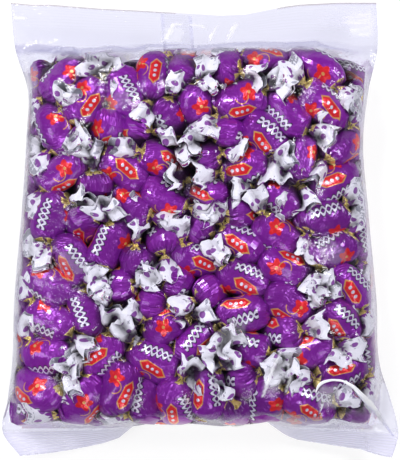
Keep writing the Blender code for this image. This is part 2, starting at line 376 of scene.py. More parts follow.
@dataclass(frozen=True)
class BagShape:
    """The bag's outline and fullness, by the same named sizes as the solid's.

    Each station holds a place along the bag and, there, the left and right edge of the film
    and the left and right edge of the filled part, all in millimetres.
    """

    long: float = 254 * MM
    stations: tuple = (
        (-127, -101.0, 108.0, -96.0, 93.0),
        (-115, -110.2, 111.2, -101.0, 95.0),
        (-95, -108.0, 107.0, -103.5, 98.0),
        (-78, -105.8, 101.5, -103.8, 98.6),
        (-40, -104.4, 99.2, -102.4, 97.0),
        (8, -100.4, 94.8, -98.6, 93.0),
        (54, -97.4, 91.8, -95.6, 90.0),
        (78, -96.6, 94.6, -94.6, 92.4),
        (102, -103.8, 99.6, -97.0, 95.0),
        (127, -106.4, 99.2, -98.0, 95.0),
    )
    fill_foot: float = -109 * MM
    fill_head: float = 102 * MM
    foot_slope: float = 24 * MM
    head_slope: float = 36 * MM
    crown: float = 54 * MM
    seam: float = 22 * MM
    front_squareness: float = 5.5
    back_squareness: float = 7
    back_flatness: float = 1.12
    end_squareness: float = 2.4
    header_droop: float = 1.6 * MM
    droop_bend: float = 1.2

    def through(self, y: Array, column: int) -> Array:
        """A smooth curve through one column of the stations.

        Args:
            y: Places along the bag.
            column: The column, counted from the stations' places as 0.

        Returns:
            The curve's values at those places.
        """
        table = np.array(self.stations)
        ys, values = table[:, 0] * MM, table[:, column] * MM
        slopes = np.gradient(values, ys)
        k = np.clip(np.searchsorted(ys, y) - 1, 0, len(ys) - 2)
        span = ys[k + 1] - ys[k]
        t = np.clip((y - ys[k]) / span, 0, 1)
        bend = t * t * (3 - 2 * t)
        enter, leave = t * (1 - t) ** 2, t * t * (t - 1)
        return (
            values[k] * (1 - bend)
            + values[k + 1] * bend
            + (enter * slopes[k] + leave * slopes[k + 1]) * span
        )

    def film_sides(self, y: Array) -> tuple[Array, Array]:
        """The left and right edge of the film at y."""
        return self.through(y, 1), self.through(y, 2)

    def fill_sides(self, y: Array) -> tuple[Array, Array]:
        """The left and right edge of the filled part at y."""
        return self.through(y, 3), self.through(y, 4)

    def up_header(self, y: Array) -> Array:
        """How far up the header y lies: 0 at its foot and 1 at its edge."""
        return np.clip((y - self.fill_head) / (self.long / 2 - self.fill_head), 0, 1)

    def fullness(self, x: Array, y: Array, squareness: float) -> Array:
        """1 in the middle of the filled part and 0 at its edge."""
        left, right = self.fill_sides(y)
        across = np.clip((2 * x - left - right) / (right - left), -1, 1)
        head = np.clip((self.fill_head - y) / self.head_slope, 0, 1)
        foot = np.clip((y - self.fill_foot) / self.foot_slope, 0, 1)
        rise = 1.0
        for end in (head, foot):
            rise = rise * np.sqrt(np.maximum(1 - (1 - end) ** self.end_squareness, 0))
        return rise * np.sqrt(np.maximum(1 - np.abs(across) ** squareness, 0))

    def front(self, x: Array, y: Array) -> Array:
        """Height of the film on the shown side."""
        full = self.fullness(x, y, self.front_squareness)
        return self.seam + (self.crown - self.seam) * full

    def back(self, x: Array, y: Array) -> Array:
        """Height of the film underneath, which lies flat over most of the bag."""
        full = self.fullness(x, y, self.back_squareness)
        return self.seam * (1 - np.minimum(full * self.back_flatness, 1))


# ---------------- how the sweets lie


@dataclass(frozen=True)
class Packing:
    """Where the sweets lie, by the same rule and the same draw as the solid's."""

    shape: BagShape = BagShape()
    sweets: int = 200
    spread: tuple = ((-105, -108), (105, 98))
    layers: tuple = ((10, 0.30), (27, 0.32), (44, 0.38))
    layer_room: float = 6
    tilt: float = 0.28
    end_apart: float = 6.4 * MM
    balls: tuple = (8.4, 8.4, 4.8, 4.8, 9.6)
    fan_reach: float = 14 * MM
    fan_bend: float = 2 * MM
    fan_pull: float = 0.08
    fan_out: float = 0.45 * 14 * MM
    fan_overlap: float = 0.75
    body_give: float = 0.35
    most_move: float = 2 * MM
    place_tries: int = 24
    touch: float = 5 * MM
    push: float = 0.5
    step: float = 1 * MM
    pair_rounds: int = 8
    rounds: int = 260
    last_rounds: int = 60
    room: tuple = (4, 3, 3)
    body_room: tuple = (10.5, 10, 8.5)
    lift: float = 0.3 * MM
    sink: float = 1.4 * MM
    seed: int = 7

    def pressed_in(self, balls: Array, radii: Array, side: Side) -> Array:
        """How far balls are moved by a sheet of film that they stand out of.

        Args:
            balls: The balls' places.
            radii: Their radii.
            side: Which sheet it is.

        Returns:
            Each ball's move.
        """
        wall = self.shape.front if side is Side.FRONT else self.shape.back
        step = self.step
        x, y = balls[:, 0], balls[:, 1]
        slope_x = (wall(x + step, y) - wall(x - step, y)) / (2 * step)
        slope_y = (wall(x, y + step) - wall(x, y - step)) / (2 * step)
        steep = side.value * np.sqrt(slope_x**2 + slope_y**2 + 1)
        way = np.stack([-slope_x, -slope_y, np.ones_like(x)], 1) / steep[:, None]
        room = (wall(x, y) - balls[:, 2]) / steep
        return -way * np.clip(radii - room, 0, self.most_move)[:, None]

    def kept_in_plan(self, ends: Array, room: tuple[float, float, float]) -> None:
        """Moves balls back that come nearer to the foot, the head or a side than this room."""
        at_foot, at_head, at_side = (part * MM for part in room)
        x, y = ends[..., 0], ends[..., 1]
        ends[..., 1] = np.clip(y, self.shape.fill_foot + at_foot, self.shape.fill_head - at_head)
        left, right = self.shape.fill_sides(y)
        ends[..., 0] = np.clip(x, left + at_side, right - at_side)

    def scattered(self, draw: np.random.Generator) -> Array:
        """Finds the sweets' first places, in layers, each far from the others of its layer.

        Args:
            draw: The packing's own draw of random numbers.

        Returns:
            The sweets' middles.
        """
        places = []
        for height, share in self.layers:
            layer = []
            while len(layer) < round(self.sweets * share):
                tries = draw.uniform(*self.spread, (self.place_tries, 2)) * MM
                x, y = tries[:, 0], tries[:, 1]
                clear_above = self.shape.front(x, y) > (height + self.layer_room) * MM
                clear_below = self.shape.back(x, y) < (height - self.layer_room) * MM
                tries = tries[clear_above & clear_below]
                if not len(tries):
                    continue
                if layer:
                    gaps = np.array(layer)[None, :, :] - tries[:, None, :]
                    tries = tries[[np.argmax((gaps**2).sum(2).min(1))]]
                layer.append(tries[0])
            places += [(x, y, height * MM) for x, y in layer]
        return np.array(places)

    def near_pairs(self, balls: Array, radii: Array, soft: Array) -> tuple:
        """Finds the pairs of balls of different sweets that may touch.

        Args:
            balls: The balls' places.
            radii: Their radii.
            soft: True for a fan's ball, which may overlap another fan's.

        Returns:
            The first and second ball of each pair, how far apart they want to be, and the
            first one's share of the move.
        """
        owner = np.repeat(np.arange(self.sweets), len(self.balls))
        gaps = sum((balls[:, None, k] - balls[None, :, k]) ** 2 for k in range(3))
        reach = radii[:, None] + radii[None, :] + self.touch
        i, j = np.nonzero(np.triu(gaps < reach**2, 1))
        apart = owner[i] != owner[j]
        i, j = i[apart], j[apart]
        want = (radii[i] + radii[j]) * np.where(soft[i] & soft[j], self.fan_overlap, 1.0)
        give = np.where(soft, 1.0, self.body_give)
        return i, j, want, give[i] / (give[i] + give[j])

    @staticmethod
    def held_apart(ends: Array, a: int, b: int, length: float, share: float) -> None:
        """Brings two balls of each sweet to their distance, moving the first by its share."""
        gap = ends[:, b] - ends[:, a]
        long = np.sqrt((gap**2).sum(1, keepdims=True)) + TINY
        excess = gap / long * (long - length)
        ends[:, a] += excess * share
        ends[:, b] -= excess * (1 - share)

    def first_ends(self) -> Array:
        """The sweets' first places and directions, as two end balls and two fan balls each."""
        draw = np.random.default_rng(self.seed)
        middle = self.scattered(draw)
        count = len(middle)
        turn, tilt = draw.uniform(0, np.pi, count), draw.normal(0, self.tilt, count)
        axis = np.stack([np.cos(turn) * np.cos(tilt), np.sin(turn) * np.cos(tilt), np.sin(tilt)], 1)
        bends = draw.normal(0, self.fan_bend, (2, count, 3))
        tip = axis * (self.end_apart + self.fan_reach)
        ends = [middle - axis * self.end_apart, middle + axis * self.end_apart]
        return np.stack(ends + [middle - tip + bends[0], middle + tip + bends[1]], 1)

    def kept_whole(self, ends: Array) -> None:
        """Brings each sweet's balls back to their distances and its fans out past its ends."""
        self.held_apart(ends, 0, 1, 2 * self.end_apart, 0.5)
        for end, far, fan in ((0, 1, 2), (1, 0, 3)):
            self.held_apart(ends, end, fan, self.fan_reach, self.fan_pull)
            out = ends[:, end] - ends[:, far]
            out /= np.sqrt((out**2).sum(1, keepdims=True)) + TINY
            along = ((ends[:, fan] - ends[:, end]) * out).sum(1)
            ends[:, fan] += out * (np.clip(self.fan_out - along, 0, None) * self.push)[:, None]

    def settled(self, ends: Array, rounds: int, room: tuple, body_room: tuple) -> Array:
        """Pushes the sweets apart and into the bag, a little in each round.

        Args:
            ends: Each sweet's two end balls and two fan balls.
            rounds: How often they are pushed.
            room: The least room at the foot, the head and the sides, in millimetres.
            body_room: The same for the bodies alone.

        Returns:
            Where the balls come to lie.
        """
        count = len(ends)
        top = np.arange(count) >= count - round(self.sweets * self.layers[-1][1])
        radii = np.tile(np.array(self.balls) * MM, count)
        soft = np.tile([False, False, True, True, False], count)
        for k in range(rounds):
            balls = np.concatenate([ends, ends[:, :2].mean(1, keepdims=True)], 1).reshape(-1, 3)
            if k % self.pair_rounds == 0:
                i, j, want, share = self.near_pairs(balls, radii, soft)
            gap = balls[j] - balls[i]
            long = np.sqrt((gap**2).sum(1)) + TINY
            push = gap / long[:, None] * (np.clip(want - long, 0, None) * self.push)[:, None]
            move = sum(self.pressed_in(balls, radii, side) for side in Side)
            for ax in range(3):
                move[:, ax] += np.bincount(j, push[:, ax] * (1 - share), len(balls))
                move[:, ax] -= np.bincount(i, push[:, ax] * share, len(balls))
            move[:, 2] += np.clip(radii - balls[:, 2] - move[:, 2], 0, None)
            move = move.reshape(count, len(self.balls), 3)
            ends += move[:, :4]
            ends[:, :2] += move[:, 4:] * self.push
            self.kept_whole(ends)
            ends[top, :, 2] += self.lift
            self.kept_in_plan(ends, room)
            self.kept_in_plan(ends[:, :2], body_room)
            ends = np.round(ends, 7)
        return ends

    def packed(self) -> Array:
        """Where the sweets lie.

        Returns:
            For each sweet, the places of its two end balls and its two fans' balls.
        """
        ends = self.settled(self.first_ends(), self.rounds, self.room, self.room)
        ends = self.settled(ends, self.last_rounds, self.room, self.body_room)
        ends[..., 2] -= self.sink
        return ends


# ---------------- finishes


@dataclass(frozen=True)
class WrapperFinish:
    """Glossy printed twist wrapper, gold at the necks, white and dotted at the fans. Its colour
    carries painted shade towards the body's ends, in the foil's crumples and deep in the heap.

    The wrapper's UV map gives the place on the flat wrapper: across it as 0.5 plus tenths of
    a metre from the sweet's middle, with 1 more on the inner side of a fan, and around the
    sweet in turns. Lengths here are in millimetres. A field named edge holds the two values
    between which something fades in.
    """

    purple: tuple = (0.235, 0.014, 0.315)
    # A darker purple: the print's dark ground, and the painted shade towards the body's ends.
    purple_dark: tuple = (0.040, 0.004, 0.062)
    red: tuple = (0.90, 0.018, 0.026)
    gold_ink: tuple = (0.85, 0.42, 0.12)
    white_ink: tuple = (0.90, 0.87, 0.94)
    fan_white: tuple = (1.0, 0.99, 0.99)
    foil_gold: tuple = (1.0, 0.80, 0.25)
    # The shaded gold of the foil's crumples: painted shade.
    foil_painted_shade: tuple = (0.36, 0.22, 0.04)
    foil_silver: tuple = (0.50, 0.50, 0.54)
    # The colour of the painted shadow deep in the heap.
    deep: tuple = (0.012, 0.004, 0.014)
    girth: float = 62.0
    fan_girth: float = 36.0
    neck: float = 15.6
    lightest: float = 1.35
    # Painted shade: the body darkens towards its ends, where it narrows.
    end_edge: tuple = (12.0, 15.6)
    end_painted_shade: float = 0.85
    flower_at: tuple = (5.2, 6.0)
    petals: float = 5.0
    petal_long: float = 0.9
    flower_reach: float = 4.1
    flower_edge: tuple = (0.3, -0.3)
    eye_edge: tuple = (1.05, 0.65)
    stalk_at: tuple = (4.6, 1.0)
    stalk_bend: float = 3.6
    stalk_edge: tuple = (0.42, 0.12)
    stalk_end: float = 0.2
    tag_at: tuple = (1.5, 14.6)
    tag_lean: float = 0.12
    tag_half: tuple = (8.4, 2.9)
    tag_point: float = 7.0
    tag_edge: tuple = (1.04, 0.98)
    rim_edge: tuple = (0.84, 0.9)
    dot_gap: float = 3.0
    dot_edge: tuple = (1.05, 0.75)
    dots_half: float = 4.5
    braid_at: tuple = (0.6, 23.6)
    braid_lean: float = 0.16
    braid_half: float = 8.6
    braid_turn: float = 0.98
    braid_swing: float = 2.35
    braid_taper: float = 0.1
    strand_edge: tuple = (0.95, 0.65)
    ground_edge: tuple = (1.7, 1.3)
    fan_edge: tuple = (-0.3, 0.7)
    fan_ink: float = 0.94
    fan_dot_gap: float = 6.6
    fan_dot_stray: float = 0.6
    fan_dot_edge: tuple = (0.25, 0.20)
    splash_grain: float = 0.3
    splash_long: float = 14.0
    splash_back: float = 2.8
    splash_edge: tuple = (0.4, -0.4)
    foil_middle: float = 1.0
    foil_edge: tuple = (2.2, 1.9)
    blob_grain: tuple = (0.30, 5.0)
    blob_shift: float = 9.0
    blob_edge: tuple = (0.47, 0.50)
    crumple_grain: tuple = (1.1, 16.0)
    crumple_edge: tuple = (0.34, 0.47)
    # How dark the painted shadow gets, and how much less of it the foil takes.
    shadow: float = 0.94
    foil_lit: float = 0.22
    metal: float = 0.5
    body_metal: float = 0.28
    rough: float = 0.32
    fan_rough: float = 0.14
    foil_smooth: float = 0.12
    coat: float = 0.5
    coat_rough: float = 0.08
    speck_grain: float = 0.45
    crease_squash: float = 0.8
    crease_scale: float = 0.30
    crinkle_slant: float = 0.4
    crinkle_scale: float = 0.75
    gather_turns: float = 2.0
    gather_grain: float = 0.2
    gather_stray: float = 14.0
    gather_edge: tuple = (8.0, 14.0)
    relief: tuple = (0.8, 0.3, 0.25, 1.6)
    relief_deep: float = 0.9 * MM
    relief_strong: float = 0.55

    def blossom(self, s: Shader, along: Socket, around: Socket) -> tuple[Socket, Socket]:
        """A five-petalled flower, and the gold of its eye and stalk."""
        x, y = along - self.flower_at[0], around - self.flower_at[1]
        far = s.length(x, y)
        turn = s.maths("ARCTAN2", y, x) * self.petals
        petals = s.maths("COSINE", turn) * self.petal_long + self.flower_reach
        flower, eye = s.smooth(*self.flower_edge, far - petals), s.smooth(*self.eye_edge, far)
        x, y = x + self.stalk_at[0], y - self.stalk_at[1]
        stalk = s.smooth(*self.stalk_edge, abs(s.length(x, y) - self.stalk_bend))
        return flower, s.larger(eye, stalk * (y > self.stalk_end))

    def tag(self, s: Shader, along: Socket, around: Socket) -> tuple[Socket, Socket, Socket]:
        """A long six-sided label, its gold rim and the row of dots in it."""
        x, y = along + self.tag_at[0], around - self.tag_at[1] - along * self.tag_lean
        points = abs(x) / self.tag_half[0] + abs(y) / self.tag_point
        inside = s.larger(abs(y) / self.tag_half[1], points)
        label, rim = s.smooth(*self.tag_edge, inside), s.smooth(*self.rim_edge, inside)
        step = s.maths("WRAP", x, self.dot_gap / 2, -self.dot_gap / 2)
        dots = s.smooth(*self.dot_edge, s.length(step, y)) * (abs(x) < self.dots_half)
        return label, rim, dots

    def braid(self, s: Shader, along: Socket, around: Socket) -> tuple[Socket, Socket]:
        """Two strands wound round each other, and the dark ground that sets them off."""
        x, y = along - self.braid_at[0], around - self.braid_at[1] + along * self.braid_lean
        within = abs(x) < self.braid_half
        reach = self.braid_swing - abs(x) * self.braid_taper
        swing = s.maths("SINE", x * self.braid_turn) * reach
        far = s.smaller(abs(y - swing), abs(y + swing))
        strands, ground = s.smooth(*self.strand_edge, far), s.smooth(*self.ground_edge, far)
        return strands * within, ground * within

    def printed(self, s: Shader, along: Socket, around: Socket, tone: Socket) -> Socket:
        """Colours the body: purple with its print, and painted shade towards its ends.

        Args:
            s: The wrapper's shader.
            along: The place along the sweet, from its middle.
            around: The place around it.
            tone: How light this sweet's purple is, from 0 to 1.

        Returns:
            The colour.
        """
        # Painted shade towards the ends of the body.
        near_end = s.smooth(*self.end_edge, abs(along))
        colour = s.mix(near_end * self.end_painted_shade, self.purple, self.purple_dark)
        colour = s.mix(tone, colour, tuple(self.lightest * part for part in self.purple))
        turn = s.maths("WRAP", around, self.girth / 2, 0.0)
        flower, gold = self.blossom(s, along, turn)
        label, rim, dots = self.tag(s, along, turn)
        strands, ground = self.braid(s, along, turn)
        prints = (
            (flower, self.red),
            (gold, self.gold_ink),
            (label, s.mix(rim, self.red, self.gold_ink)),
            (dots, self.white_ink),
            (ground, self.purple_dark),
            (strands, self.white_ink),
        )
        for cover, ink in prints:
            colour = s.mix(cover, colour, ink)
        return colour

    def fanned(self, s: Shader, out: Socket, around: Socket) -> Socket:
        """Colours a fan's outer side: a purple splash at the neck, then white with dots."""
        ragged = s.noise(s.point(around * self.splash_grain, 0.0)) * self.splash_long
        splash = s.smooth(*self.splash_edge, out - (ragged - self.splash_back))
        spots = s.cells(s.point(out, around), 1 / self.fan_dot_gap, spread=self.fan_dot_stray)
        dots = s.smooth(*self.fan_dot_edge, spots) * self.fan_ink
        return s.mix(s.larger(splash, dots), self.fan_white, self.purple)

    def foiled(
        self, s: Shader, along: Socket, out: Socket, around: Socket, tone: Socket
    ) -> tuple[Socket, Socket]:
        """The patches of foil round each neck, and their gold with painted shade in its crumples.
        """
        across, turned = self.blob_grain
        blobs = s.noise(s.point(along * across, around * turned + tone * self.blob_shift))
        band = s.smooth(*self.foil_edge, abs(out - self.foil_middle))
        band = band * s.smooth(*self.blob_edge, blobs)
        # Painted shade: the foil's gold darkens in patches that stand for its crumples.
        across, turned = self.crumple_grain
        crumples = s.smooth(*self.crumple_edge, s.noise(s.point(along * across, around * turned)))
        return band, s.mix(crumples, self.foil_painted_shade, self.foil_gold)

    def crumpled(
        self, s: Shader, along: Socket, on_body: Socket, fan: Socket, band: Socket
    ) -> Socket:
        """Raises the wrapper's small creases, its gathers near the necks and the foil's grain.

        Args:
            s: The wrapper's shader.
            along: The place along the sweet, from its middle.
            on_body: The place around it.
            fan: 1 on a fan and 0 on the body.
            band: 1 on the foil.

        Returns:
            The normal.
        """
        squashed = s.point(along, on_body * self.crease_squash)
        creases = s.cells(squashed, self.crease_scale, "SMOOTH_F1")
        slanted = s.point(along + on_body * self.crinkle_slant, on_body)
        crinkles = s.cells(slanted, self.crinkle_scale)
        grain = s.noise(s.point(along * self.gather_grain, on_body * self.gather_grain))
        gathers = s.maths("SINE", on_body * self.gather_turns + grain * self.gather_stray)
        gathered = s.smooth(*self.gather_edge, abs(along)) * (1.0 - fan)
        specks = s.noise(s.point(along * self.speck_grain, on_body * self.speck_grain))
        crease_deep, crinkle_deep, gather_deep, speck_deep = self.relief
        height = creases * crease_deep + crinkles * crinkle_deep + gathers * gathered * gather_deep
        return s.bump(height + specks * band * speck_deep, self.relief_deep, self.relief_strong)

    def made(self) -> bpy.types.Material:
        """The material of all the wrappers."""
        s = Shader("printed_twist_wrapper")
        across, around = s.flat_place("wrapper")
        inner = across > 1.0
        along = (across - 0.5 - inner) * (FLAT_UNIT / MM)
        out = abs(along) - self.neck
        tone = s.attribute("tone")
        on_body, on_fan = around * self.girth, around * self.fan_girth
        fan = s.smooth(*self.fan_edge, out)
        band, foil = self.foiled(s, along, out, around, tone)
        colour = s.mix(fan, self.printed(s, along, on_body, tone), self.fanned(s, out, on_fan))
        colour = s.mix(inner, s.mix(band, colour, foil), self.foil_silver)
        # Painted shadow: points deep in the heap are darkened towards the deep colour, the foil
        # less.
        shadow = s.attribute("shadow") * (self.shadow - band * self.foil_lit)
        metal = inner * self.metal + (1.0 - inner) * (1.0 - fan) * self.body_metal
        surface = s.node(
            "ShaderNodeBsdfPrincipled",
            {
                "Base Color": s.mix(shadow, colour, self.deep),
                "Metallic": s.larger(band * self.metal, metal),
                "Roughness": self.rough + fan * self.fan_rough - band * self.foil_smooth,
                "Coat Weight": (1.0 - fan) * self.coat,
                "Coat Roughness": self.coat_rough,
                "Normal": self.crumpled(s, along, on_body, fan, band),
            },
        )
        return s.finish(surface)


@dataclass(frozen=True)
class FilmFinish:
    """Clear, faintly lavender packing film, milky where it is doubled or sealed. It carries painted
    highlights along its creases, painted highlights and shade on the ribs of its seals, and
    painted shade on slack and steep film.

    Its gloss stops growing at shallow angles, where it turns milky instead: a painted
    reflection. The UV map gives the place on the flat sheet in tenths of a metre. The rib is in
    millimetres.
    """

    name: str = "clear_packing_film"
    tint: tuple = (0.905, 0.905, 0.972)
    white: tuple = (0.94, 0.94, 1.0)
    # The film's darkest milky tone, for painted shade.
    shaded: tuple = (0.345, 0.33, 0.54)
    sealed: tuple = (0.80, 0.775, 1.0)
    cut_edge: tuple = (0.42, 0.34, 0.33)
    rib: float = 1.7
    rib_grain: tuple = (5.0, 30.0)
    rib_wander: float = 5.0
    rib_shade: float = 0.2
    rib_milk: float = 0.26
    seal_tone: float = 0.9
    wrinkle_scale: float = 26.0
    fine_scale: float = 34.0
    relief: tuple = (0.9, 0.35, 0.3)
    relief_deep: float = 1.5 * MM
    relief_strong: float = 0.3
    milk_rough: float = 0.3
    gloss_rough: float = 0.12
    bending: float = 1.3
    most_gloss: float = 0.22
    grazing_milk: float = 0.45
    slack_milk: float = 0.60
    slack_from: float = 0.02
    slack_steep: float = 9.0
    most_milk: float = 0.94

    def ribs(self, s: Shader, across: Socket, along: Socket, ribbed: Socket) -> Socket:
        """The ribs of the pressed seals, which wander a little."""
        step_across, step_along = self.rib_grain
        wander = s.noise(s.point(across * step_across, along * step_along)) * self.rib_wander
        return s.maths("SINE", along * (FLAT_UNIT / MM * 2 * math.pi / self.rib) + wander) * ribbed

    def milk(self, s: Shader, ribs: Socket, ribbed: Socket, cut: Socket) -> Socket:
        """The colour of the film where it is milky, sealed or cut, with its painted shade."""
        # Painted shade, and more of it along the ribs.
        shade = s.smaller(s.attribute("shade") + abs(ribs) * self.rib_shade, 1.0)
        white = s.mix(shade, self.white, self.shaded)
        white = s.mix(ribbed * self.seal_tone, white, self.sealed)
        return s.mix(cut, white, self.cut_edge)

    def cover(self, s: Shader, ribs: Socket, cut: Socket, facing: Socket) -> Socket:
        """How much of what lies behind the film its milkiness hides."""
        # Milkiness at shallow angles: a painted reflection.
        grazing = s.larger(facing - self.most_gloss, 0.0) * self.grazing_milk
        # Milky streaks on the ribs' crests: painted highlights.
        streaks = s.larger(ribs, 0.0) * self.rib_milk
        # Slack film seen slanting turns milky, in the tone that its painted shade gives.
        slanting = s.smaller(s.larger(facing - self.slack_from, 0.0) * self.slack_steep, 1.0)
        slack = s.attribute("slack") * slanting * self.slack_milk
        return s.smaller(s.attribute("haze") + cut + streaks + grazing + slack, self.most_milk)

    def made(self) -> bpy.types.Material:
        """The material of every sheet of film."""
        s = Shader(self.name)
        across, along = s.flat_place("sheet")
        place = s.point(across, along)
        cut, ribbed = s.attribute("cut"), s.attribute("ribbed")
        ribs = self.ribs(s, across, along, ribbed)
        wrinkles = s.noise(place, self.wrinkle_scale, 3.0)
        fine = s.cells(place, self.fine_scale, "SMOOTH_F1")
        wrinkle_deep, fine_deep, rib_deep = self.relief
        height = wrinkles * wrinkle_deep + fine * fine_deep + ribs * rib_deep
        normal = s.bump(height, self.relief_deep, self.relief_strong)
        facing = s.node("ShaderNodeFresnel", {"IOR": self.bending, "Normal": normal})
        colour, rough = self.milk(s, ribs, ribbed, cut), self.milk_rough
        milky = s.node(
            "ShaderNodeBsdfPrincipled",
            {"Base Color": colour, "Roughness": rough, "Normal": normal},
        )
        clear = s.node("ShaderNodeBsdfTransparent", {"Color": self.tint})
        cover = self.cover(s, ribs, cut, facing)
        sheet = s.node("ShaderNodeMixShader", {0: cover, 1: clear, 2: milky})
        gloss = s.node(
            "ShaderNodeBsdfGlossy",
            {"Color": (1.0, 1.0, 1.0), "Roughness": self.gloss_rough, "Normal": normal},
        )
        shine = s.smaller(facing, self.most_gloss)
        return s.finish(s.node("ShaderNodeMixShader", {0: shine, 1: sheet, 2: gloss}))


# ---------------- one sweet


@dataclass
class WrappedSweet:
    """One twist-wrapped sweet along X, modelled ring by ring from fan to fan.

    The rings run from deep inside one fan out over its lip, along the outer side of the
    wrapper and back into the other fan, so the wrapper is one closed skin.
    """

    seed: int
    half_body: float = 15.6
    half_wide: float = 11.0
    half_thick: float = 8.8
    neck_wide: float = 2.4
    neck_thick: float = 2.0
    tip: float = 30.4
    fan_half_wide: float = 9.9
    fan_half_thick: float = 1.0
    plumpness: tuple = (3.6, 2.2)
    flare: tuple = (0.75, 0.5)
    skin: float = 0.35
    least_thick: float = 0.2
    pleats: int = 8
    pleat_lean: float = 0.9
    pleat_pitch: float = 6
    pleat_uneven: tuple = ((2, 0.5), (3, 0.3))
    pleat_from: tuple = (9.0, 14.0)
    pleat_to: tuple = (15.4, 16.8)
    pleat_deep: float = 0.6
    flats: tuple = ((17.0, 0.034 * 17.0), (11.0, 0.034 * 11.0))
    flats_around: float = 9
    flats_to: tuple = (13, 15)
    grown: float = 0.45
    spread: tuple = (0.86, 1.12)
    fold_size: tuple = (8.0, 12.0)
    fold_deep: float = 2.0
    fold_zigzag: tuple = (0.1, 11)
    small_folds: tuple = ((12.0, 1.5), (7.0, 0.8))
    lip_size: tuple = (8, 13)
    lip_deep: float = 1.5
    lip_apart: float = 1.6
    curl: float = 2.2
    corner_from: float = 3.6
    corner_wide: float = 4
    corner_grown: float = 0.2
    corner_in: tuple = (0.2, 2.4)
    corner_up: float = 2.6
    lips_open: tuple = (0.1, 0.9)
    body_stations: tuple = (0, 2.8, 5.6, 8.2, 10.5, 12.3, 13.6, 14.6, 15.2)
    neck_stations: tuple = (15.7, 16.5)
    fan_stations: tuple = (17.5, 19.0, 20.6, 22.3, 24.0, 25.8, 27.4, 29.0, 30.4)
    inner_stations: tuple = (28.8, 26.5, 23.6, 20.5, 18.1)

    def up_fan(self, out: Array | float) -> Array | float:
        """How far up the fan a distance from the middle lies: 0 at the neck, 1 at the lip."""
        return (out - self.neck_stations[-1]) / (self.tip - self.neck_stations[-1])

    def girth_at(self, out: float) -> tuple[float, float]:
        """Half the width and half the thickness of the outer skin at a distance from the middle."""
        if out < self.neck_stations[0]:
            body = (1 - (out / self.half_body) ** self.plumpness[0]) ** (1 / self.plumpness[1])
            wide = self.neck_wide + (self.half_wide - self.neck_wide) * body
            return wide, self.neck_thick + (self.half_thick - self.neck_thick) * body
        flare = max(self.up_fan(out), 0)
        wide = self.neck_wide + (self.fan_half_wide - self.neck_wide) * flare ** self.flare[0]
        thick = self.neck_thick + (self.fan_half_thick - self.neck_thick) * flare ** self.flare[1]
        return wide, thick

    def rings(self) -> list[tuple[float, float, float]]:
        """The rings of the right half, from the middle out and back in: place, width, thickness."""
        outer = self.body_stations + self.neck_stations + self.fan_stations
        rings = [(out, *self.girth_at(out)) for out in outer]
        for out in self.inner_stations:
            wide, thick = self.girth_at(out)
            rings.append((out, wide - self.skin, max(thick - self.skin, self.least_thick)))
        return rings

    def modelled(self) -> bpy.types.Object:
        """Extrudes the skin ring by ring from a circle."""
        right = self.rings()
        rings = [(-x, wide, thick) for x, wide, thick in right[:0:-1]] + right
        nothing_selected()
        bpy.ops.mesh.primitive_circle_add(
            vertices=RING, radius=MM, fill_type="NGON", rotation=(0, math.pi / 2, 0)
        )
        sweet = bpy.context.object
        bpy.ops.object.transform_apply(location=False, rotation=True, scale=False)
        open_whole()
        x, wide, thick = rings[0]
        bpy.ops.transform.resize(value=(1, wide, thick), center_override=(0, 0, 0))
        bpy.ops.transform.translate(value=(x * MM, 0, 0))
        for x_next, wide_next, thick_next in rings[1:]:
            step = {"value": ((x_next - x) * MM, 0, 0)}
            bpy.ops.mesh.extrude_region_move(TRANSFORM_OT_translate=step)
            scale = (1, wide_next / wide, thick_next / thick)
            bpy.ops.transform.resize(value=scale, center_override=(x_next * MM, 0, 0))
            x, wide, thick = x_next, wide_next, thick_next
        bpy.ops.mesh.select_all(action="SELECT")
        bpy.ops.mesh.normals_make_consistent(inside=False)
        bpy.ops.object.mode_set(mode="OBJECT")
        self.unroll(sweet.data)
        self.crumple(sweet.data)
        sweet.name = f"sweet_{self.seed}"
        return sweet

    def unroll(self, mesh: bpy.types.Mesh) -> None:
        """Writes the wrapper's UV map: the place on the flat wrapper at each face corner.

        Args:
            mesh: The sweet, before it is crumpled.
        """
        places = places_of(mesh)
        count = len(self.inner_stations)
        ring = np.arange(len(places)) // RING
        inner = (ring < count) | (ring >= ring.max() + 1 - count)
        turn = (np.round(self.angles(places) / (2 * math.pi) * RING) % RING) / RING
        corner = corner_points(mesh)
        u = 0.5 + places[corner, 0] / FLAT_UNIT + inner[corner]
        v = turn[corner]
        start = np.empty(len(mesh.polygons), dtype=int)
        mesh.polygons.foreach_get("loop_start", start)
        total = np.empty(len(mesh.polygons), dtype=int)
        mesh.polygons.foreach_get("loop_total", total)
        face = np.repeat(np.arange(len(total)), total)
        highest = np.maximum.reduceat(v, start)[face]
        v = np.where((highest > 0.75) & (v < 0.25), v + 1, v)
        put_flat_places(mesh, "wrapper", np.stack([u, v], 1))

    def angles(self, places: Array) -> Array:
        """Where each point lies around the sweet, as an angle on its ring made round."""
        reach = np.abs(places.reshape(-1, RING, 3)).max(1)
        wide, thick = np.repeat(reach[:, 1], RING), np.repeat(reach[:, 2], RING)
        return np.arctan2(places[:, 2] / thick, places[:, 1] / wide)

    def crumple(self, mesh: bpy.types.Mesh) -> None:
        """Gathers the body towards its necks, and folds and tears the fans."""
        places = places_of(mesh) / MM
        draw = np.random.default_rng(self.seed)
        angle = self.angles(places)
        self.gather(places, angle, draw)
        for end in (-1, 1):
            of_end = places[:, 0] * end > self.neck_stations[0]
            places[of_end] = self.folded(places[of_end], angle[of_end], end, draw)
        put_places(mesh, places * MM)

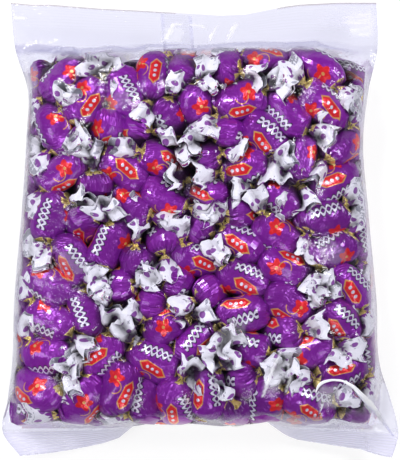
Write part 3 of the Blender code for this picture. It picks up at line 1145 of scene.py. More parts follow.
    def gather(self, places: Array, angle: Array, draw: np.random.Generator) -> None:
        """Presses flats into the body and pleats its ends.

        Args:
            places: The sweet's points, in millimetres, which are moved.
            angle: Where each lies around the sweet.
            draw: The sweet's own draw of random numbers.
        """
        out = np.abs(places[:, 0])
        lean = draw.uniform(-self.pleat_lean, self.pleat_lean)
        uneven = sum(
            size * np.sin(times * angle + draw.uniform(0, 6)) for times, size in self.pleat_uneven
        )
        turns = angle * self.pleats / (2 * math.pi)
        turns = turns + places[:, 0] * lean / self.pleat_pitch + uneven
        pleated = eased(*self.pleat_from, out) * (1 - eased(*self.pleat_to, out))
        flats = creased(0, places[:, 0], angle * self.flats_around, self.flats, draw)
        push = pleated * self.pleat_deep * wave(turns) + flats * (1 - eased(*self.flats_to, out))
        places[:, 1] += np.cos(angle) * push
        places[:, 2] += np.sin(angle) * push

    def folded(
        self, places: Array, angle: Array, end: int, draw: np.random.Generator
    ) -> Array:
        """One fan, folded crisply and torn unevenly at its lip.

        Args:
            places: The fan's points, in millimetres.
            angle: Where each lies around the sweet.
            end: 1 for the fan at +X, -1 for the other.
            draw: The sweet's own draw of random numbers.

        Returns:
            The moved points.
        """
        out, y, z = places[:, 0] * end, places[:, 1].copy(), places[:, 2].copy()
        t = np.clip(self.up_fan(out), 0, 1)
        grow = eased(0, self.grown, t)
        y *= 1 + (draw.uniform(*self.spread) - 1) * grow
        upper = np.tanh(np.sin(angle) * 2)
        zigzag, zigzag_size = self.fold_zigzag
        turns = y / draw.uniform(*self.fold_size) + draw.uniform()
        turns = turns + zigzag * wave(out / zigzag_size)
        folds = creased(self.fold_deep * wave(turns), y, out, self.small_folds, draw)
        lip = self.lip_deep * wave(y / draw.uniform(*self.lip_size) + draw.uniform())
        lip = lip + draw.uniform(-self.lip_apart, self.lip_apart) * upper
        curl = draw.uniform(-self.curl, self.curl)
        for corner in (-1, 1):
            turned = np.clip((y * corner - self.corner_from) / self.corner_wide, 0, 1)
            turned = turned * eased(self.corner_grown, 1, t)
            y -= corner * turned * draw.uniform(*self.corner_in)
            z += turned * draw.uniform(-self.corner_up, self.corner_up)
        z += grow * folds + curl * t**2
        z += upper * grow * draw.uniform(*self.lips_open)
        return np.stack([(out + grow * t * lip) * end, y, z], 1)


# ---------------- the heap of sweets


@dataclass
class SweetHeap:
    """All the sweets in the bag, pressed against each other and the film.

    A pair of lengths named as an edge or a give holds the places between which something
    sets in.
    """

    packing: Packing = field(default_factory=Packing)
    kinds: int = 8
    pieces: int = 4
    places: list[Array] = field(default_factory=list)
    roll: float = 0.42
    outermost: float = 19 * MM
    fan_room: float = 4 * MM
    fan_lift: float = 7 * MM
    fan_push: float = 7 * MM
    fan_stiffness: int = 3
    fan_from: float = 15.5 * MM
    body_to: float = 14 * MM
    bend_edge: tuple = (8 * MM, 15.5 * MM)
    body_radii: tuple = (15.0 * MM, 10.9 * MM, 8.9 * MM)
    neighbour: float = 46 * MM
    outward: float = 0.9
    floor: float = 0.8 * MM
    edge_give: float = 3.5 * MM
    head: float = 101 * MM
    foot: float = -108.2 * MM
    margin: float = 0.5 * MM
    side_out: float = 1.5 * MM
    left_edge: tuple = (-62 * MM, -92 * MM)
    right_edge: tuple = (62 * MM, 90 * MM)
    foot_out: float = 1.6 * MM
    foot_edge: tuple = (-75 * MM, -104 * MM)
    bulge: float = 2.6 * MM
    head_blend: float = 34 * MM
    head_back: float = 4.5 * MM
    head_edge: tuple = (38 * MM, 26 * MM)
    corner: float = 4.5 * MM
    corner_left: tuple = (-68 * MM, -98 * MM)
    corner_foot: tuple = (-72 * MM, -104 * MM)
    scallop: float = 2.4 * MM
    scallop_step: float = 39 * MM
    # Depths over which the painted shadow sets in, and a depth taken off the distance from the
    # sides.
    shadow_edge: tuple = (-3.6 * MM, 0.8 * MM)
    side_depth: float = 8 * MM
    cell: float = 1.5 * MM
    cells: int = 180
    blur: float = 4.0
    smooth_angle: float = 17
    seed: int = 21

    def build(self) -> list[bpy.types.Object]:
        """Models the sweets, lays each in its place and joins them into a few pieces."""
        models = [WrappedSweet(seed).modelled() for seed in range(self.kinds)]
        ends = self.spread_fans(self.packing.packed())
        draw = np.random.default_rng(self.seed)
        bodies = [self.body_frame(each, draw) for each in ends]
        kind = draw.integers(0, self.kinds, len(ends))
        shapes = [places_of(model.data) for model in models]
        laid = [self.laid(shapes[k], end, body) for k, end, body in zip(kind, ends, bodies)]
        self.drape_fans([shapes[k] for k in kind], laid, bodies)
        self.places = [self.kept_inside(places) for places in laid]
        material = WrapperFinish().made()
        skylines = [self.skyline(side) for side in Side]
        copies = []
        for index, (k, places) in enumerate(zip(kind, self.places)):
            mesh = models[k].data.copy()
            put_places(mesh, places)
            self.turn_print(mesh, draw.uniform())
            carry(mesh, "tone", np.full(len(places), draw.uniform(0, 1)))
            # Painted shadow by depth in the heap, which the wrapper's colour reads.
            carry(mesh, "shadow", self.shadow(places, skylines))
            mesh.materials.append(material)
            copy = bpy.data.objects.new(f"laid_{index}", mesh)
            bpy.context.collection.objects.link(copy)
            copies.append(copy)
        for model in models:
            bpy.data.objects.remove(model)
        made = []
        for number in range(self.pieces):
            piece = joined(copies[number :: self.pieces], f"wrapped_sweets_{number + 1}")
            made.append(smoothed(piece, self.smooth_angle))
        return made

    def spread_fans(self, ends: Array) -> Array:
        """Brings the fans of the outermost sweets out to the film, over their neighbours.

        Args:
            ends: Each sweet's two end balls and two fan balls.

        Returns:
            The same, with the fans' balls moved.
        """
        shape = self.packing.shape
        middle = ends[:, :2].mean(1)
        top = shape.front(middle[:, 0], middle[:, 1]) - middle[:, 2] < self.outermost
        low = middle[:, 2] - shape.back(middle[:, 0], middle[:, 1]) < self.outermost
        for fan in (2, 3):
            x, y, z = ends[:, fan].T
            up = np.clip(shape.front(x, y) - self.fan_room - z, 0, self.fan_lift)
            down = np.clip(z - shape.back(x, y) - self.fan_room, 0, self.fan_lift)
            ends[:, fan, 2] += np.where(top, up, np.where(low, -down, 0))
        return ends

    def body_frame(self, ends: Array, draw: np.random.Generator) -> Matrix:
        """A sweet's place and turn: X along it, and its flat side near upright with some roll."""
        along = unit(ends[1] - ends[0])
        side = unit(np.cross((0, 0, 1), along))
        turned = Matrix((along, side, np.cross(along, side))).transposed().to_4x4()
        middle = Vector(ends[:2].mean(0))
        roll = draw.normal(0, self.roll)
        return Matrix.Translation(middle) @ turned @ Matrix.Rotation(roll, 4, "X")

    def laid(self, shape: Array, ends: Array, body: Matrix) -> Array:
        """Lays one sweet in its place, with each fan bent to where its ball lies.

        Args:
            shape: The sweet's points as it is modelled.
            ends: Its two end balls and two fan balls.
            body: Its place and turn.

        Returns:
            The points in the bag.
        """
        turn = np.array(body.to_3x3())
        middle = np.array(body.translation)
        places = shape @ turn.T + middle
        for end, fan, sign in ((0, 2, -1), (1, 3, 1)):
            straight, bent = turn[:, 0] * sign, unit(ends[fan] - ends[end])
            pivot = middle + straight * self.packing.end_apart
            axis = np.cross(straight, bent)
            most = math.atan2(np.linalg.norm(axis), straight @ bent)
            axis = unit(axis)
            out = shape[:, 0] * sign
            angle = (eased(*self.bend_edge, out) * most)[:, None]
            rest = places - pivot
            swung = (
                rest * np.cos(angle)
                + np.cross(axis, rest) * np.sin(angle)
                + axis * (rest @ axis)[:, None] * (1 - np.cos(angle))
            )
            places = np.where(out[:, None] > 0, pivot + swung, places)
        return places

    def drape_fans(self, shapes: list, laid: list, bodies: list[Matrix]) -> None:
        """Lays the fans over and beside the neighbouring bodies instead of through them.

        Args:
            shapes: Each sweet's points as it is modelled.
            laid: Its points in the bag, which are moved.
            bodies: Its place and turn.
        """
        middles = np.array([body.translation for body in bodies])
        for i, places in enumerate(laid):
            before = places.copy()
            fan = np.abs(shapes[i][:, 0]) > self.fan_from
            near = np.linalg.norm(middles - middles[i], axis=1) < self.neighbour
            up = 1 if middles[i][2] > self.packing.shape.seam else -1
            for j in np.nonzero(near)[0]:
                if i != j:
                    turn = np.array(bodies[j].to_3x3())
                    places[fan] += self.pushed_out(places[fan] - middles[j], turn, up)
            moved = (places - before).reshape(-1, RING, 3)
            for _ in range(self.fan_stiffness):
                moved = moved / 2 + (np.roll(moved, 1, 1) + np.roll(moved, -1, 1)) / 4
                along = np.concatenate([moved[:1], moved, moved[-1:]])
                moved = moved / 2 + (along[:-2] + along[2:]) / 4
            moved = moved.reshape(-1, 3)
            moved[np.abs(shapes[i][:, 0]) < self.body_to] = 0
            places[:] = before + moved

    def pushed_out(self, places: Array, turn: Array, up: int) -> Array:
        """Finds how far points have to move to come out of a sweet's body.

        Args:
            places: The points, from the body's middle.
            turn: The body's turn.
            up: 1 where they leave it upwards, else -1.

        Returns:
            Each point's move.
        """
        local = places @ turn / self.body_radii
        depth = np.linalg.norm(local, axis=1)
        slope = np.linalg.norm(local / self.body_radii, axis=1)
        way = (local / self.body_radii / slope[:, None]) @ turn.T
        way = way + np.array((0, 0, self.outward * up))
        way /= np.linalg.norm(way, axis=1, keepdims=True)
        return way * np.clip((1 - depth) * depth / slope, 0, self.fan_push)[:, None]

    def held(self, value: Array, edge: Array, sign: int) -> Array:
        """Places past an edge, eased back to it; sign is 1 for an edge above them, else -1."""
        give = self.edge_give
        over = np.maximum((value - edge) * sign + give, 0) / give
        return np.where(over > 0, edge + sign * give * (np.tanh(over) - 1), value)

    def kept_inside(self, places: Array) -> Array:
        """Presses a sweet in at the bag's edges and flat on the table.

        The sweets first follow the line that they end at under the header, then give way
        outwards at the foot and the sides, and last they are held inside the outline.

        Args:
            places: The sweet's points.

        Returns:
            The moved points.
        """
        shape = self.packing.shape
        x, y, z = places.T
        line = line_at(HEAD_LINE, x) - self.head_back * eased(*self.head_edge, z)
        y = y + (line - self.head) * eased(self.head - self.head_blend, self.head, y)
        y = y - self.foot_out * eased(*self.foot_edge, y)
        x = x + self.side_out * (eased(*self.right_edge, x) - eased(*self.left_edge, x))
        scallop = self.scallop * wave(x / self.scallop_step)
        y = self.held(self.held(y, line + scallop / 2, 1), self.foot + scallop, -1)
        left, right = shape.fill_sides(y)
        x = self.held(self.held(x, left + self.margin, -1), right - self.margin, 1)
        x = x - self.corner * eased(*self.corner_left, x) * eased(*self.corner_foot, y)
        z = self.held(z, shape.front(x, y) + self.bulge, 1)
        z = self.held(z, shape.back(x, y) - self.bulge, -1)
        return np.stack([x, y, np.maximum(z, self.floor)], 1)

    def in_cells(self, places: Array) -> tuple[Array, Array]:
        """The cells of the grid in plan that hold the places."""
        cell = np.round(places[:, :2] / self.cell).astype(int) + self.cells // 2
        return tuple(np.clip(cell, 0, self.cells - 1).T)

    def blurred(self, values: Array) -> Array:
        """The values of the grid in plan, spread over their neighbours both ways."""
        reach = np.arange(-3 * self.blur, 3 * self.blur + 1)
        weight = np.exp(-0.5 * (reach / self.blur) ** 2)
        for axis in (0, 1):
            values = np.apply_along_axis(np.convolve, axis, values, weight, "same")
        return values

    def skyline(self, side: Side) -> Array:
        """How high the heap stands on one side, smoothed, in the cells of a grid in plan."""
        places = np.concatenate(self.places)
        high = np.full((self.cells, self.cells), BELOW_ALL)
        np.maximum.at(high, self.in_cells(places), places[:, 2] * side.value)
        found = (high > BELOW_ALL).astype(float)
        return self.blurred(high * found) / np.maximum(self.blurred(found), TINY)

    def shadow(self, places: Array, skylines: list[Array]) -> Array:
        """How much painted shadow each point takes, by its depth in the heap.

        Args:
            places: A sweet's points.
            skylines: The heap's height at the front and at the back.

        Returns:
            0 where a point is lit in full and 1 where it is dark.
        """
        x, y, z = places.T
        above, below = (skyline[self.in_cells(places)] for skyline in skylines)
        left, right = self.packing.shape.fill_sides(y)
        beside = np.min((x - left, right - x, self.head - y, y - self.foot), axis=0)
        depth = np.min((above - z, below + z, beside - self.side_depth), axis=0)
        return eased(*self.shadow_edge, depth)

    def turn_print(self, mesh: bpy.types.Mesh, turn: float) -> None:
        """Turns the wrapper around its sweet, so that another part of the print shows."""
        flat = np.empty(len(mesh.loops) * 2, dtype=np.float32)
        layer = mesh.uv_layers["wrapper"]
        layer.data.foreach_get("uv", flat)
        flat[1::2] += turn
        layer.data.foreach_set("uv", flat)


# ---------------- the film


@dataclass(frozen=True)
class Crease:
    """A fold that stands up in the film, with a painted highlight along it.

    Its points are pixels of the photograph, each with the fold's half width there in
    millimetres, so that a crease tapers.
    """

    points: tuple
    high: float = 0.7 * MM
    # How strong the painted highlight along the fold is, and the shade that it sets.
    white: float = 0.9
    shade: float = 0.0
    crispness: float = 3

    def nearness(self, x: Array, y: Array) -> Array:
        """Finds how near places in plan are to the crease.

        Args:
            x: Places across the bag.
            y: Places along it.

        Returns:
            1 on the crease and 0 away from it.
        """
        least = np.full(np.shape(x), np.inf)
        for (ax, ay, a_wide), (bx, by, b_wide) in zip(self.points, self.points[1:]):
            (ax, ay), (bx, by) = in_plan(ax, ay), in_plan(bx, by)
            dx, dy = bx - ax, by - ay
            t = np.clip(((x - ax) * dx + (y - ay) * dy) / (dx * dx + dy * dy), 0, 1)
            wide = (a_wide + (b_wide - a_wide) * t) * MM
            least = np.minimum(least, np.hypot(x - ax - t * dx, y - ay - t * dy) / wide)
        return np.exp(-(least**self.crispness))


@dataclass(frozen=True)
class Veil:
    """A milky patch of film: real haze where the film is doubled, painted sheen where it catches
    the light, and painted shade by its shade.

    Its middle and its two reaches are pixels of the photograph; lean turns it clockwise. Two
    zigzags, each with its depth and its step, make its outline ragged.
    """

    middle: tuple
    reach: tuple
    lean: float
    cover: float
    shade: float
    ragged_along: tuple = (0.16, 9 * MM)
    ragged_across: tuple = (0.12, 7 * MM)
    ragged_shift: float = 0.3
    edge: tuple = (0.75, 1.05)

    def nearness(self, x: Array, y: Array) -> Array:
        """How much of the veil lies over places in plan: 1 in its middle and 0 off it."""
        mx, my = in_plan(*self.middle)
        turn = math.radians(self.lean)
        along = (x - mx) * math.cos(turn) - (y - my) * math.sin(turn)
        across = (x - mx) * math.sin(turn) + (y - my) * math.cos(turn)
        (deep, step), (deep_across, step_across) = self.ragged_along, self.ragged_across
        ragged = deep * wave(along / step)
        ragged = ragged + deep_across * wave(across / step_across + self.ragged_shift)
        far = np.hypot(along / self.reach[0], across / self.reach[1]) / PIXEL + ragged
        return 1 - eased(*self.edge, far)


# A sharp fold that stands up at the lower right, white with a painted highlight.
RIDGES = (
    Crease(
        (
            (313, 388, 0.25), (315, 382, 0.7), (320, 378, 0.8), (329, 376, 0.55), (339, 377, 0.55),
            (350, 383, 0.9), (360, 394, 1.6), (368, 402, 1.8), (377, 413, 1.3), (387, 427, 0.8),
            (394, 437, 0.2),
        )
    ),
)
# Folds in the front sheet, raised a little, each with a painted highlight along it.
CREASES = (
    Crease(((261, 392, 0.5), (265, 380, 1.1), (270, 366, 1.0), (279, 348, 0.5)), 0.4 * MM, 0.7),
    Crease(((283, 388, 0.5), (288, 374, 0.9), (286, 360, 0.5)), 0.4 * MM, 0.5),
    Crease(((160, 41, 0.5), (165, 37, 1.0), (170, 31, 0.5)), 0.3 * MM, 0.7),
    Crease(((168, 36, 0.3), (171, 28, 0.9), (173, 19, 1.1), (181, 17, 0.9)), 0.3 * MM, 0.75),
    Crease(((190, 18, 0.9), (203, 19, 1.2), (206, 22, 0.6)), 0.3 * MM, 0.7),
    Crease(((209, 40, 0.4), (212, 31, 0.9), (217, 17, 0.4)), 0.3 * MM, 0.85),
    Crease(((227, 38, 0.7), (231, 29, 1.2), (236, 17, 1.5)), 0.3 * MM, 0.6),
    Crease(((11, 17, 0.6), (24, 18, 0.9)), 0.3 * MM, 0.8),
    Crease(((345, 18, 0.4), (372, 14, 1.0)), 0.3 * MM, 0.7),
    Crease(((338, 24, 0.4), (370, 21, 1.2)), 0.3 * MM, 0.8),
    Crease(((350, 30, 0.4), (371, 28, 1.0)), 0.3 * MM, 0.7),
    Crease(((354, 36, 0.3), (369, 34, 0.8)), 0.3 * MM, 0.6),
    Crease(((362, 429, 0.7), (367, 442, 1.0), (370, 456, 0.8)), 0.3 * MM, 0.75),
)

# Milky patches: the flaps at the lower right are doubled film; the white patches in the header and
# the faint ones over the sweets are painted sheen; the greyer ones along the sides, the foot and
# the header's left corner are painted shade.
VEILS = (
    Veil((385, 404), (10, 34), -16, 0.42, 0.16),
    Veil((372, 430), (26, 10), 14, 0.34, 0.16),
    Veil((272, 372), (8, 22), 14, 0.20, 0.11),
    Veil((326, 392), (13, 13), 0, 0.22, 0.07),
    Veil((292, 419), (42, 8), 4, 0.34, 0.70),
    Veil((196, 422), (66, 5), 0, 0.34, 0.47),
    Veil((173, 30), (11, 12), 0, 0.34, 0.0),
    Veil((362, 24), (16, 14), 0, 0.30, 0.0),
    Veil((24, 190), (4, 75), 3, 0.30, 0.73),
    Veil((16, 330), (4, 75), 3, 0.30, 0.66),
    Veil((366, 180), (4, 60), -3, 0.22, 0.33),
    Veil((372, 320), (5, 56), -5, 0.26, 0.26),
    Veil((30, 76), (9, 22), -4, 0.30, 0.58),
    Veil((118, 104), (16, 9), -25, 0.10, 0.44),
    Veil((76, 262), (20, 8), 30, 0.12, 0.29),
    Veil((230, 330), (22, 9), -30, 0.12, 0.22),
    Veil((330, 250), (18, 10), 40, 0.12, 0.29),
)

# Lines across the bag, as pixels of the photograph: the foot of the header's pressed seal,
# where the sweets end under the header, the header's upper edge and the foot seal's line.
BAND_LINE = (
    (10, 44), (36, 43), (50, 44), (66, 47), (84, 49), (104, 46), (150, 42), (170, 42),
    (194, 45), (219, 42), (236, 39), (262, 39), (278, 41), (314, 39), (333, 40), (356, 45),
    (377, 44),
)
HEAD_LINE = (
    (10, 55), (60, 53), (100, 52), (125, 54), (150, 50), (170, 48), (195, 50), (215, 47),
    (240, 46), (262, 47), (280, 43), (300, 41), (315, 43), (332, 50), (370, 53),
)
HEADER_EDGE = (
    (10, 1.8), (30, 3.8), (50, 3.8), (100, 7.8), (140, 9.8), (190, 12.8), (220, 14.8),
    (245, 13.8), (260, 10.8), (285, 5.8), (300, 3.8), (340, 1.8), (377, 1.8),
)
FOOT_LINE = (
    (0, 429), (110, 429), (140, 426), (160, 422), (200, 425), (222, 427), (245, 424),
    (262, 421), (290, 428), (400, 431),
)
# How far the foot seal is turned down, in degrees, from its left end at -1 to its right at 1.
SEAL_TURNS = (
    (-1.0, 0), (-0.93, 12), (-0.64, 40), (-0.43, 60), (-0.31, 90), (-0.24, 98),
    (0.25, 98), (0.32, 90), (0.42, 70), (0.50, 58), (0.63, 50), (0.83, 38), (1.0, 5),
)


@dataclass(frozen=True)
class FilmMarks:
    """What the film's finish reads at each point: haze, its shade, slack, cut edge and ribs. The
    shade is painted shade, and the haze of creases and white veils is painted highlight and sheen.

    Veils and the header's left corner are less milky where the film stands steep. An edge
    holds the two values between which something sets in.
    """

    shape: BagShape
    foot: float
    steepness: tuple = (0.12, 0.55)
    margin: float = 1.0 * MM
    margin_haze: float = 0.30
    left_wide: float = 3.5 * MM
    left_slack: float = 0.8
    left_shade: float = 0.30
    plain_shade: float = 0.26
    wall_share: float = 0.35
    level_share: float = 0.65
    ear_edge: tuple = (0.5 * MM, 2.5 * MM)
    ear_haze: float = 0.45
    ear_ribs: float = 0.8
    band_edge: tuple = (-0.6 * MM, 0.8 * MM)
    band_end: tuple = (9 * MM, 4 * MM)
    band_haze: float = 0.14
    corner_edge: tuple = (-45 * MM, -75 * MM)
    corner_haze: float = 0.36
    cut_tone: float = 0.75
    cut_edge: tuple = (0.965, 1.0)
    uncut: tuple = (-0.1, 0.46)
    seal_edge: tuple = (8 * MM, 12 * MM)
    seal_ribs: float = 0.05
    right_ribs: float = 0.5
    right_edge: tuple = (0.6, 0.8)

    def level(self, x: Array, y: Array, z: Array) -> Array:
        """1 where a sheet lies level and 0 where it stands steep, as at the bag's walls."""
        rise_y, rise_x = np.gradient(z)
        run_y, run_x = np.gradient(y)[0], np.gradient(x)[1]
        slope = np.hypot(rise_x / run_x, rise_y / np.where(run_y == 0, 1, run_y))
        return eased(*self.steepness, 1 / np.sqrt(1 + slope**2))

    def head_band(self, x: Array, y: Array) -> Array:
        """1 on the strip of slack film between the header's seal and the sweets, greyed with
        painted shade.
        """
        under = line_at(BAND_LINE, x) - y
        return eased(*self.band_edge, under) * eased(*self.band_end, under)

    def read(self, side: Side, x: Array, y: Array, u: Array, z: Array) -> dict[str, Array]:
        """Finds what the finish reads.

        Args:
            side: Which sheet it is.
            x: The points' places across the flat sheet.
            y: Their places along it.
            u: Their places from its left edge at -1 to its right at 1.
            z: Their heights in the bag.

        Returns:
            The values, by the names that the finish gives them.
        """
        margin = np.minimum(x - x[:, :1], x[:, -1:] - x)
        haze = self.margin_haze * np.exp(-((margin / self.margin) ** 2))
        # The steep film at the left edge is slack and greyer: painted shade.
        left = np.exp(-(((x - x[:, :1]) / self.left_wide) ** 2)) * (y < self.shape.fill_head)
        slack = self.left_slack * left
        shade = self.plain_shade + self.left_shade * left
        ear = eased(*self.ear_edge, self.foot - y)
        if side is Side.FRONT:
            level = self.level(x, y, z)
            seen = self.wall_share + self.level_share * level
            # Veils and creases lay their painted sheen, highlights and shade on the front sheet.
            marks = [(veil.nearness(x, y) * seen, veil.shade, veil.cover) for veil in VEILS]
            marks += [(crease.nearness(x, y), crease.shade, crease.white) for crease in CREASES]
            for near, tone, cover in marks:
                shade += (tone - shade) * near
                haze = np.maximum(haze, cover * near)
            # The strip under the header's seal is milky and dark: painted shade.
            band = self.head_band(x, y)
            milk = self.band_haze + self.corner_haze * level * eased(*self.corner_edge, x)
            haze = np.maximum(haze, milk * band)
            slack = np.maximum(slack, band)
            shade += (1.0 - shade) * band
            haze = np.maximum(haze, self.ear_haze * ear)
        whole = (u >= self.uncut[0]) & (u <= self.uncut[1])
        cut = self.cut_tone * eased(*self.cut_edge, self.shape.up_header(y)) * ~whole
        sealed = eased(*self.seal_edge, y - self.shape.fill_head)
        ribs = self.seal_ribs + self.right_ribs * eased(*self.right_edge, u)
        ribbed = self.ear_ribs * ear + sealed * ribs
        return {"haze": haze, "shade": shade, "slack": slack, "cut": cut, "ribbed": ribbed}


@dataclass
class FilmBag:
    """The clear film: a front and a back sheet, sealed all round."""

    heap: SweetHeap
    shape: BagShape = field(default_factory=BagShape)
    columns: int = 176
    seal_rows: int = 12
    fill_rows: int = 166
    header_rows: int = 14
    foot: float = -111.5 * MM
    head: float = 108 * MM
    apart: float = 0.3 * MM
    clearance: float = 0.35 * MM
    edge_pull: float = 0.16
    firm_pull: float = 1e6
    rounds: int = 420
    floor: float = 0.45 * MM
    seal_give: float = 14 * MM
    lap: tuple = (-22.4 * MM, 2.8 * MM)
    lap_gap: float = 0.2 * MM
    lap_haze: float = 0.3
    lap_edge: float = 0.22
    lap_tint: tuple = (0.985, 0.985, 0.997)
    skin: float = 0.08 * MM
    ridge_step: float = 0.8 * MM
    ridge_rounds: int = 3
    ridge_across: tuple = (-1, -0.6, -0.2, 0.2, 0.6, 1)
    ridge_feel: float = 1.2 * MM
    ridge_high: float = 0.7 * MM
    ridge_bend: float = 1.5
    ridge_lift: float = 0.25 * MM
    ridge_fade: float = 0.3
    smooth_angle: float = 80
    sheets: dict = field(default_factory=dict)
    x: Array = field(init=False)
    y: Array = field(init=False)
    u: Array = field(init=False)

    def __post_init__(self) -> None:
        """Lays the sheets' points out in plan, in rows from the foot's edge to the header's."""
        edge = self.shape.long / 2
        rows = np.concatenate(
            [
                np.linspace(-edge, self.foot, self.seal_rows, endpoint=False),
                np.linspace(self.foot, self.head, self.fill_rows, endpoint=False),
                np.linspace(self.head, edge, self.header_rows + 1),
            ]
        )
        self.y, self.u = np.meshgrid(rows, np.linspace(-1, 1, self.columns + 1), indexing="ij")
        self.x = self.spread_out(self.y)

    def spread_out(self, y: Array) -> Array:
        """The points' places across the bag where they lie at y along it."""
        left, right = self.shape.film_sides(y)
        return left + (right - left) * (self.u + 1) / 2

    def obstacle(self, side: Side) -> Array:
        """Finds how high the sweets reach under each point of a sheet.

        Args:
            side: Which sheet it is.

        Returns:
            The heights that the film may not go below, with its clearance.
        """
        places = np.concatenate(self.heap.places)
        rows = self.y[:, 0]
        row = np.clip(np.searchsorted(rows, places[:, 1]), 0, len(rows) - 1)
        left, right = self.x[row, 0], self.x[row, -1]
        column = np.round((places[:, 0] - left) / (right - left) * self.columns).astype(int)
        reach = np.full(self.x.shape, BELOW_ALL)
        height = places[:, 2] * side.value
        np.maximum.at(reach, (row, np.clip(column, 0, self.columns)), height)
        grown = reach.copy()
        for dr in (-1, 0, 1):
            for dc in (-1, 0, 1):
                grown = np.maximum(grown, np.roll(reach, (dr, dc), (0, 1)))
        return grown + self.clearance

    def taut(self, side: Side) -> Array:
        """Draws one sheet taut over the sweets from edge to edge.

        Args:
            side: Which sheet it is.

        Returns:
            The points' heights.
        """
        x, y = self.x, self.y
        rule = self.shape.front if side is Side.FRONT else self.shape.back
        height = rule(x, y) * side.value
        edge = (self.shape.seam + side.value * self.apart / 2) * side.value
        height[:, [0, -1]] = edge
        filled = (y > self.foot) & (y < self.head)
        height[~filled] = edge
        obstacle = np.where(filled, self.obstacle(side), BELOW_ALL)[1:-1, 1:-1]
        left, right = self.shape.fill_sides(y)
        outside = (x < left) | (x > right) | (y > self.heap.head)
        pull = np.where(outside, self.edge_pull, 0.0) + np.where(filled, 0, self.firm_pull)
        pull = pull[1:-1, 1:-1]
        for _ in range(self.rounds):
            around = height[1:-1, :-2] + height[1:-1, 2:] + height[:-2, 1:-1] + height[2:, 1:-1]
            height[1:-1, 1:-1] = np.maximum((around / 4 + pull * edge) / (1 + pull), obstacle)
        return height * side.value

    def turned_under(self, y: Array, z: Array) -> Array:
        """Gives the foot seal its line and turns it down, less and less towards its ears.

        Args:
            y: The sheet's places along the bag.
            z: Its heights.

        Returns:
            The sheet's points.
        """
        reach = np.clip(self.foot - y, 0, None)
        down = np.radians(np.interp(self.u, *np.array(SEAL_TURNS).T))
        near = eased(self.seal_give, 0, np.abs(y - self.foot)) * (reach == 0) + (reach > 0)
        y = y + (line_at(FOOT_LINE, self.x) - self.foot) * near
        at_foot = self.spread_out(np.full_like(y, self.foot))
        x = at_foot + (self.x - at_foot) * np.cos(down) ** 2
        turned = np.stack([x, y + reach * (1 - np.cos(down)), z - reach * np.sin(down)], -1)
        return np.where(reach[..., None] > 0, turned, np.stack([self.x, y, z], -1))

    def drawn(self, side: Side) -> tuple[Array, Array, dict[str, Array]]:
        """Finds one sheet's points, with its creases, its header's edge and its foot seal.

        Args:
            side: Which sheet it is.

        Returns:
            Where the points lie, where they lie on the flat sheet, and what the finish reads.
        """
        z = self.taut(side)
        if side is Side.FRONT:
            for crease in CREASES:
                z += crease.high * crease.nearness(self.x, self.y)
        else:
            z = np.maximum(z, self.floor)
        z[:, [0, -1]] = self.shape.seam
        z[[0, -1]] = self.shape.seam
        over = self.shape.up_header(self.y)
        y = self.y + (line_at(HEADER_EDGE, self.x) - self.shape.long / 2) * over
        z -= self.shape.header_droop * over**self.shape.droop_bend
        points = self.turned_under(y, z)
        marks = FilmMarks(self.shape, self.foot)
        looks = marks.read(side, self.x, self.y, self.u, points[..., 2])
        return points, np.stack([self.x, self.y], -1), looks

    def grid(self, name: str, points: Array, flat: Array, looks: dict) -> bpy.types.Object:
        """Makes a grid with its points, its UV map and what its finish reads.

        Args:
            name: The new object's name.
            points: Its points, in rows and columns.
            flat: Their places on the flat sheet.
            looks: The values that the mesh carries, by name.

        Returns:
            The grid.
        """
        nothing_selected()
        rows, columns = points.shape[:2]
        bpy.ops.mesh.primitive_grid_add(x_subdivisions=columns - 1, y_subdivisions=rows - 1)
        made = bpy.context.object
        made.name = name
        put_places(made.data, points.reshape(-1, 3))
        for attribute, values in looks.items():
            carry(made.data, attribute, values)
        made.data.uv_layers.remove(made.data.uv_layers[0])
        corner = corner_points(made.data)
        put_flat_places(made.data, "sheet", flat.reshape(-1, 2)[corner] / FLAT_UNIT)
        return made

    def sheet(self, side: Side) -> bpy.types.Object:
        """One sheet as a mesh."""
        made = self.grid("film_sheet", *self.sheets[side])
        if side is Side.BACK:
            open_whole()
            bpy.ops.mesh.flip_normals()
            bpy.ops.object.mode_set(mode="OBJECT")
        return made

    def back_seam(self) -> bpy.types.Object:
        """The lap of film along the middle of the back, where the tube of film is closed."""
        points, flat, looks = self.sheets[Side.BACK]
        lapped = (flat[..., 0] > self.lap[0]).all(0) & (flat[..., 0] < self.lap[1]).all(0)
        columns = np.nonzero(lapped)[0]
        points = points - (0, 0, self.lap_gap)
        # The lap's edges are whitened: a painted highlight along them.
        edge = np.zeros(len(columns))
        edge[[0, 1, -2, -1]] = self.lap_edge
        kept = {name: values[1:-1, columns] for name, values in looks.items()}
        kept["haze"] = np.maximum(kept["haze"] * self.lap_haze, edge)
        kept["shade"] = kept["shade"] * 0
        lap = self.grid("back_seam", points[1:-1, columns], flat[1:-1, columns], kept)
        return thickened(lap, self.skin)

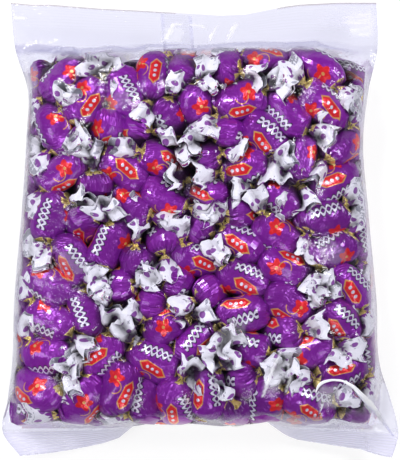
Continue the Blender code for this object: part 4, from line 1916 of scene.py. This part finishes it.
    def ridge(self, crease: Crease) -> bpy.types.Object:
        """Stands a sharp fold of film on the front sheet along a crease.

        Args:
            crease: The crease.

        Returns:
            The fold.
        """
        sheet = self.sheets[Side.FRONT][0].reshape(-1, 3)
        path = np.array([(*in_plan(px, py), wide * MM) for px, py, wide in crease.points])
        run = np.concatenate([[0], np.cumsum(np.hypot(*np.diff(path[:, :2], axis=0).T))])
        at = np.linspace(0, run[-1], int(run[-1] / self.ridge_step) + 2)
        px, py, wide = (np.interp(at, run, part) for part in path.T)
        for _ in range(self.ridge_rounds):
            for part in (px, py):
                part[1:-1] = part[1:-1] / 2 + (part[:-2] + part[2:]) / 4
        way = np.stack([np.gradient(px), np.gradient(py)], 1)
        way /= np.hypot(*way.T)[:, None]
        across = np.array(self.ridge_across)
        places_x = px[:, None] - way[:, 1:] * across * wide[:, None]
        places_y = py[:, None] + way[:, :1] * across * wide[:, None]
        far = (sheet[:, :1] - px) ** 2 + (sheet[:, 1:2] - py) ** 2
        near = np.exp(-far / (2 * self.ridge_feel**2))
        base = (near * sheet[:, 2:]).sum(0) / near.sum(0)
        rise = (1 - np.abs(across) ** self.ridge_bend) * (wide / wide.max())[:, None]
        height = base[:, None] + self.ridge_lift + self.ridge_high * rise
        points = np.stack([places_x, places_y, height], -1)
        # The fold's white is a painted highlight.
        haze = np.full(places_x.shape, crease.white)
        haze *= eased(1, 1 - self.ridge_fade, at / run[-1])[:, None]
        looks = {name: haze * 0 for name in ("shade", "slack", "cut", "ribbed")}
        made = self.grid("film_fold", points, points[..., :2], {"haze": haze, **looks})
        return thickened(made, self.skin)

    def build(self) -> list[bpy.types.Object]:
        """Joins the two sheets along their outline, and adds the fold and the back seam's lap."""
        self.sheets = {side: self.drawn(side) for side in Side}
        film = joined([self.sheet(side) for side in Side], "clear_film")
        open_whole()
        bpy.ops.mesh.remove_doubles(threshold=self.apart / 10)
        bpy.ops.object.mode_set(mode="OBJECT")
        folds = joined([self.ridge(crease) for crease in RIDGES], "film_folds")
        clear, lapped = FilmFinish().made(), FilmFinish("lapped_film", self.lap_tint).made()
        pieces = {film: clear, folds: clear, self.back_seam(): lapped}
        for piece, material in pieces.items():
            smoothed(piece, self.smooth_angle).data.materials.append(material)
        return list(pieces)


# ---------------- studio


@dataclass(frozen=True)
class Panel:
    """A soft light that faces the bag."""

    name: str
    place: tuple
    size: float
    power: float


@dataclass(frozen=True)
class Studio:
    """A plain pale floor, soft lights and a camera straight above the bag."""

    camera_height: float = 1.10
    sharp_height: float = 25 * MM
    sensor: float = 36.0
    floor_wide: float = 5
    floor_tone: tuple = (0.25, 0.25, 0.25)
    floor_rough: float = 0.9
    floor_glow: float = 0.81
    room_tone: tuple = (0.9, 0.92, 0.96, 1)
    room_power: float = 0.08
    panels: tuple = (
        Panel("key_light", (-0.50, 0.80, 1.15), 0.28, 13.6),
        Panel("right_light", (0.85, 0.35, 1.05), 0.30, 7.8),
        Panel("left_light", (-1.00, -0.30, 0.90), 0.45, 4.8),
        Panel("foot_light", (0.25, -1.00, 1.00), 0.45, 4.8),
    )

    def floor(self) -> None:
        """The surface that the bag lies on."""
        nothing_selected()
        bpy.ops.mesh.primitive_plane_add(size=self.floor_wide)
        floor = bpy.context.object
        floor.name = "studio_floor"
        s = Shader("pale_floor")
        surface = s.node(
            "ShaderNodeBsdfPrincipled",
            {
                "Base Color": self.floor_tone,
                "Roughness": self.floor_rough,
                "Emission Color": (1.0, 1.0, 1.0),
                "Emission Strength": self.floor_glow,
            },
        )
        floor.data.materials.append(s.finish(surface))

    def lights(self) -> None:
        """The panels and the light of the room."""
        for panel in self.panels:
            bpy.ops.object.light_add(type="AREA", location=panel.place)
            lamp = bpy.context.object
            lamp.name = panel.name
            lamp.data.size = panel.size
            lamp.data.energy = panel.power
            lamp.rotation_euler = Vector(panel.place).to_track_quat("Z", "Y").to_euler()
        world = bpy.data.worlds.new("room")
        world.use_nodes = True
        light = world.node_tree.nodes["Background"]
        light.inputs["Color"].default_value = self.room_tone
        light.inputs["Strength"].default_value = self.room_power
        bpy.context.scene.world = world

    def camera(self) -> None:
        """The camera, framed so that the photograph's pixels fall on the bag's sizes."""
        bpy.ops.object.camera_add(location=(0, 0, self.camera_height), rotation=(0, 0, 0))
        camera = bpy.context.object
        camera.data.sensor_fit = "VERTICAL"
        camera.data.sensor_height = self.sensor
        seen = PHOTO_HIGH * PIXEL
        camera.data.lens = self.sensor * (self.camera_height - self.sharp_height) / seen
        bpy.context.scene.camera = camera
        bpy.context.scene.view_settings.view_transform = "Standard"

    def build(self) -> None:
        """Sets up the whole studio."""
        self.floor()
        self.lights()
        self.camera()


def main() -> None:
    """Builds the sweets, the film over them and the studio."""
    logging.basicConfig(level=logging.INFO, format="%(name)s: %(message)s")
    heap = SweetHeap()
    for piece in heap.build():
        delivered(piece)
    for piece in FilmBag(heap).build():
        delivered(piece)
    Studio().build()


if __name__ == "__main__":
    main()
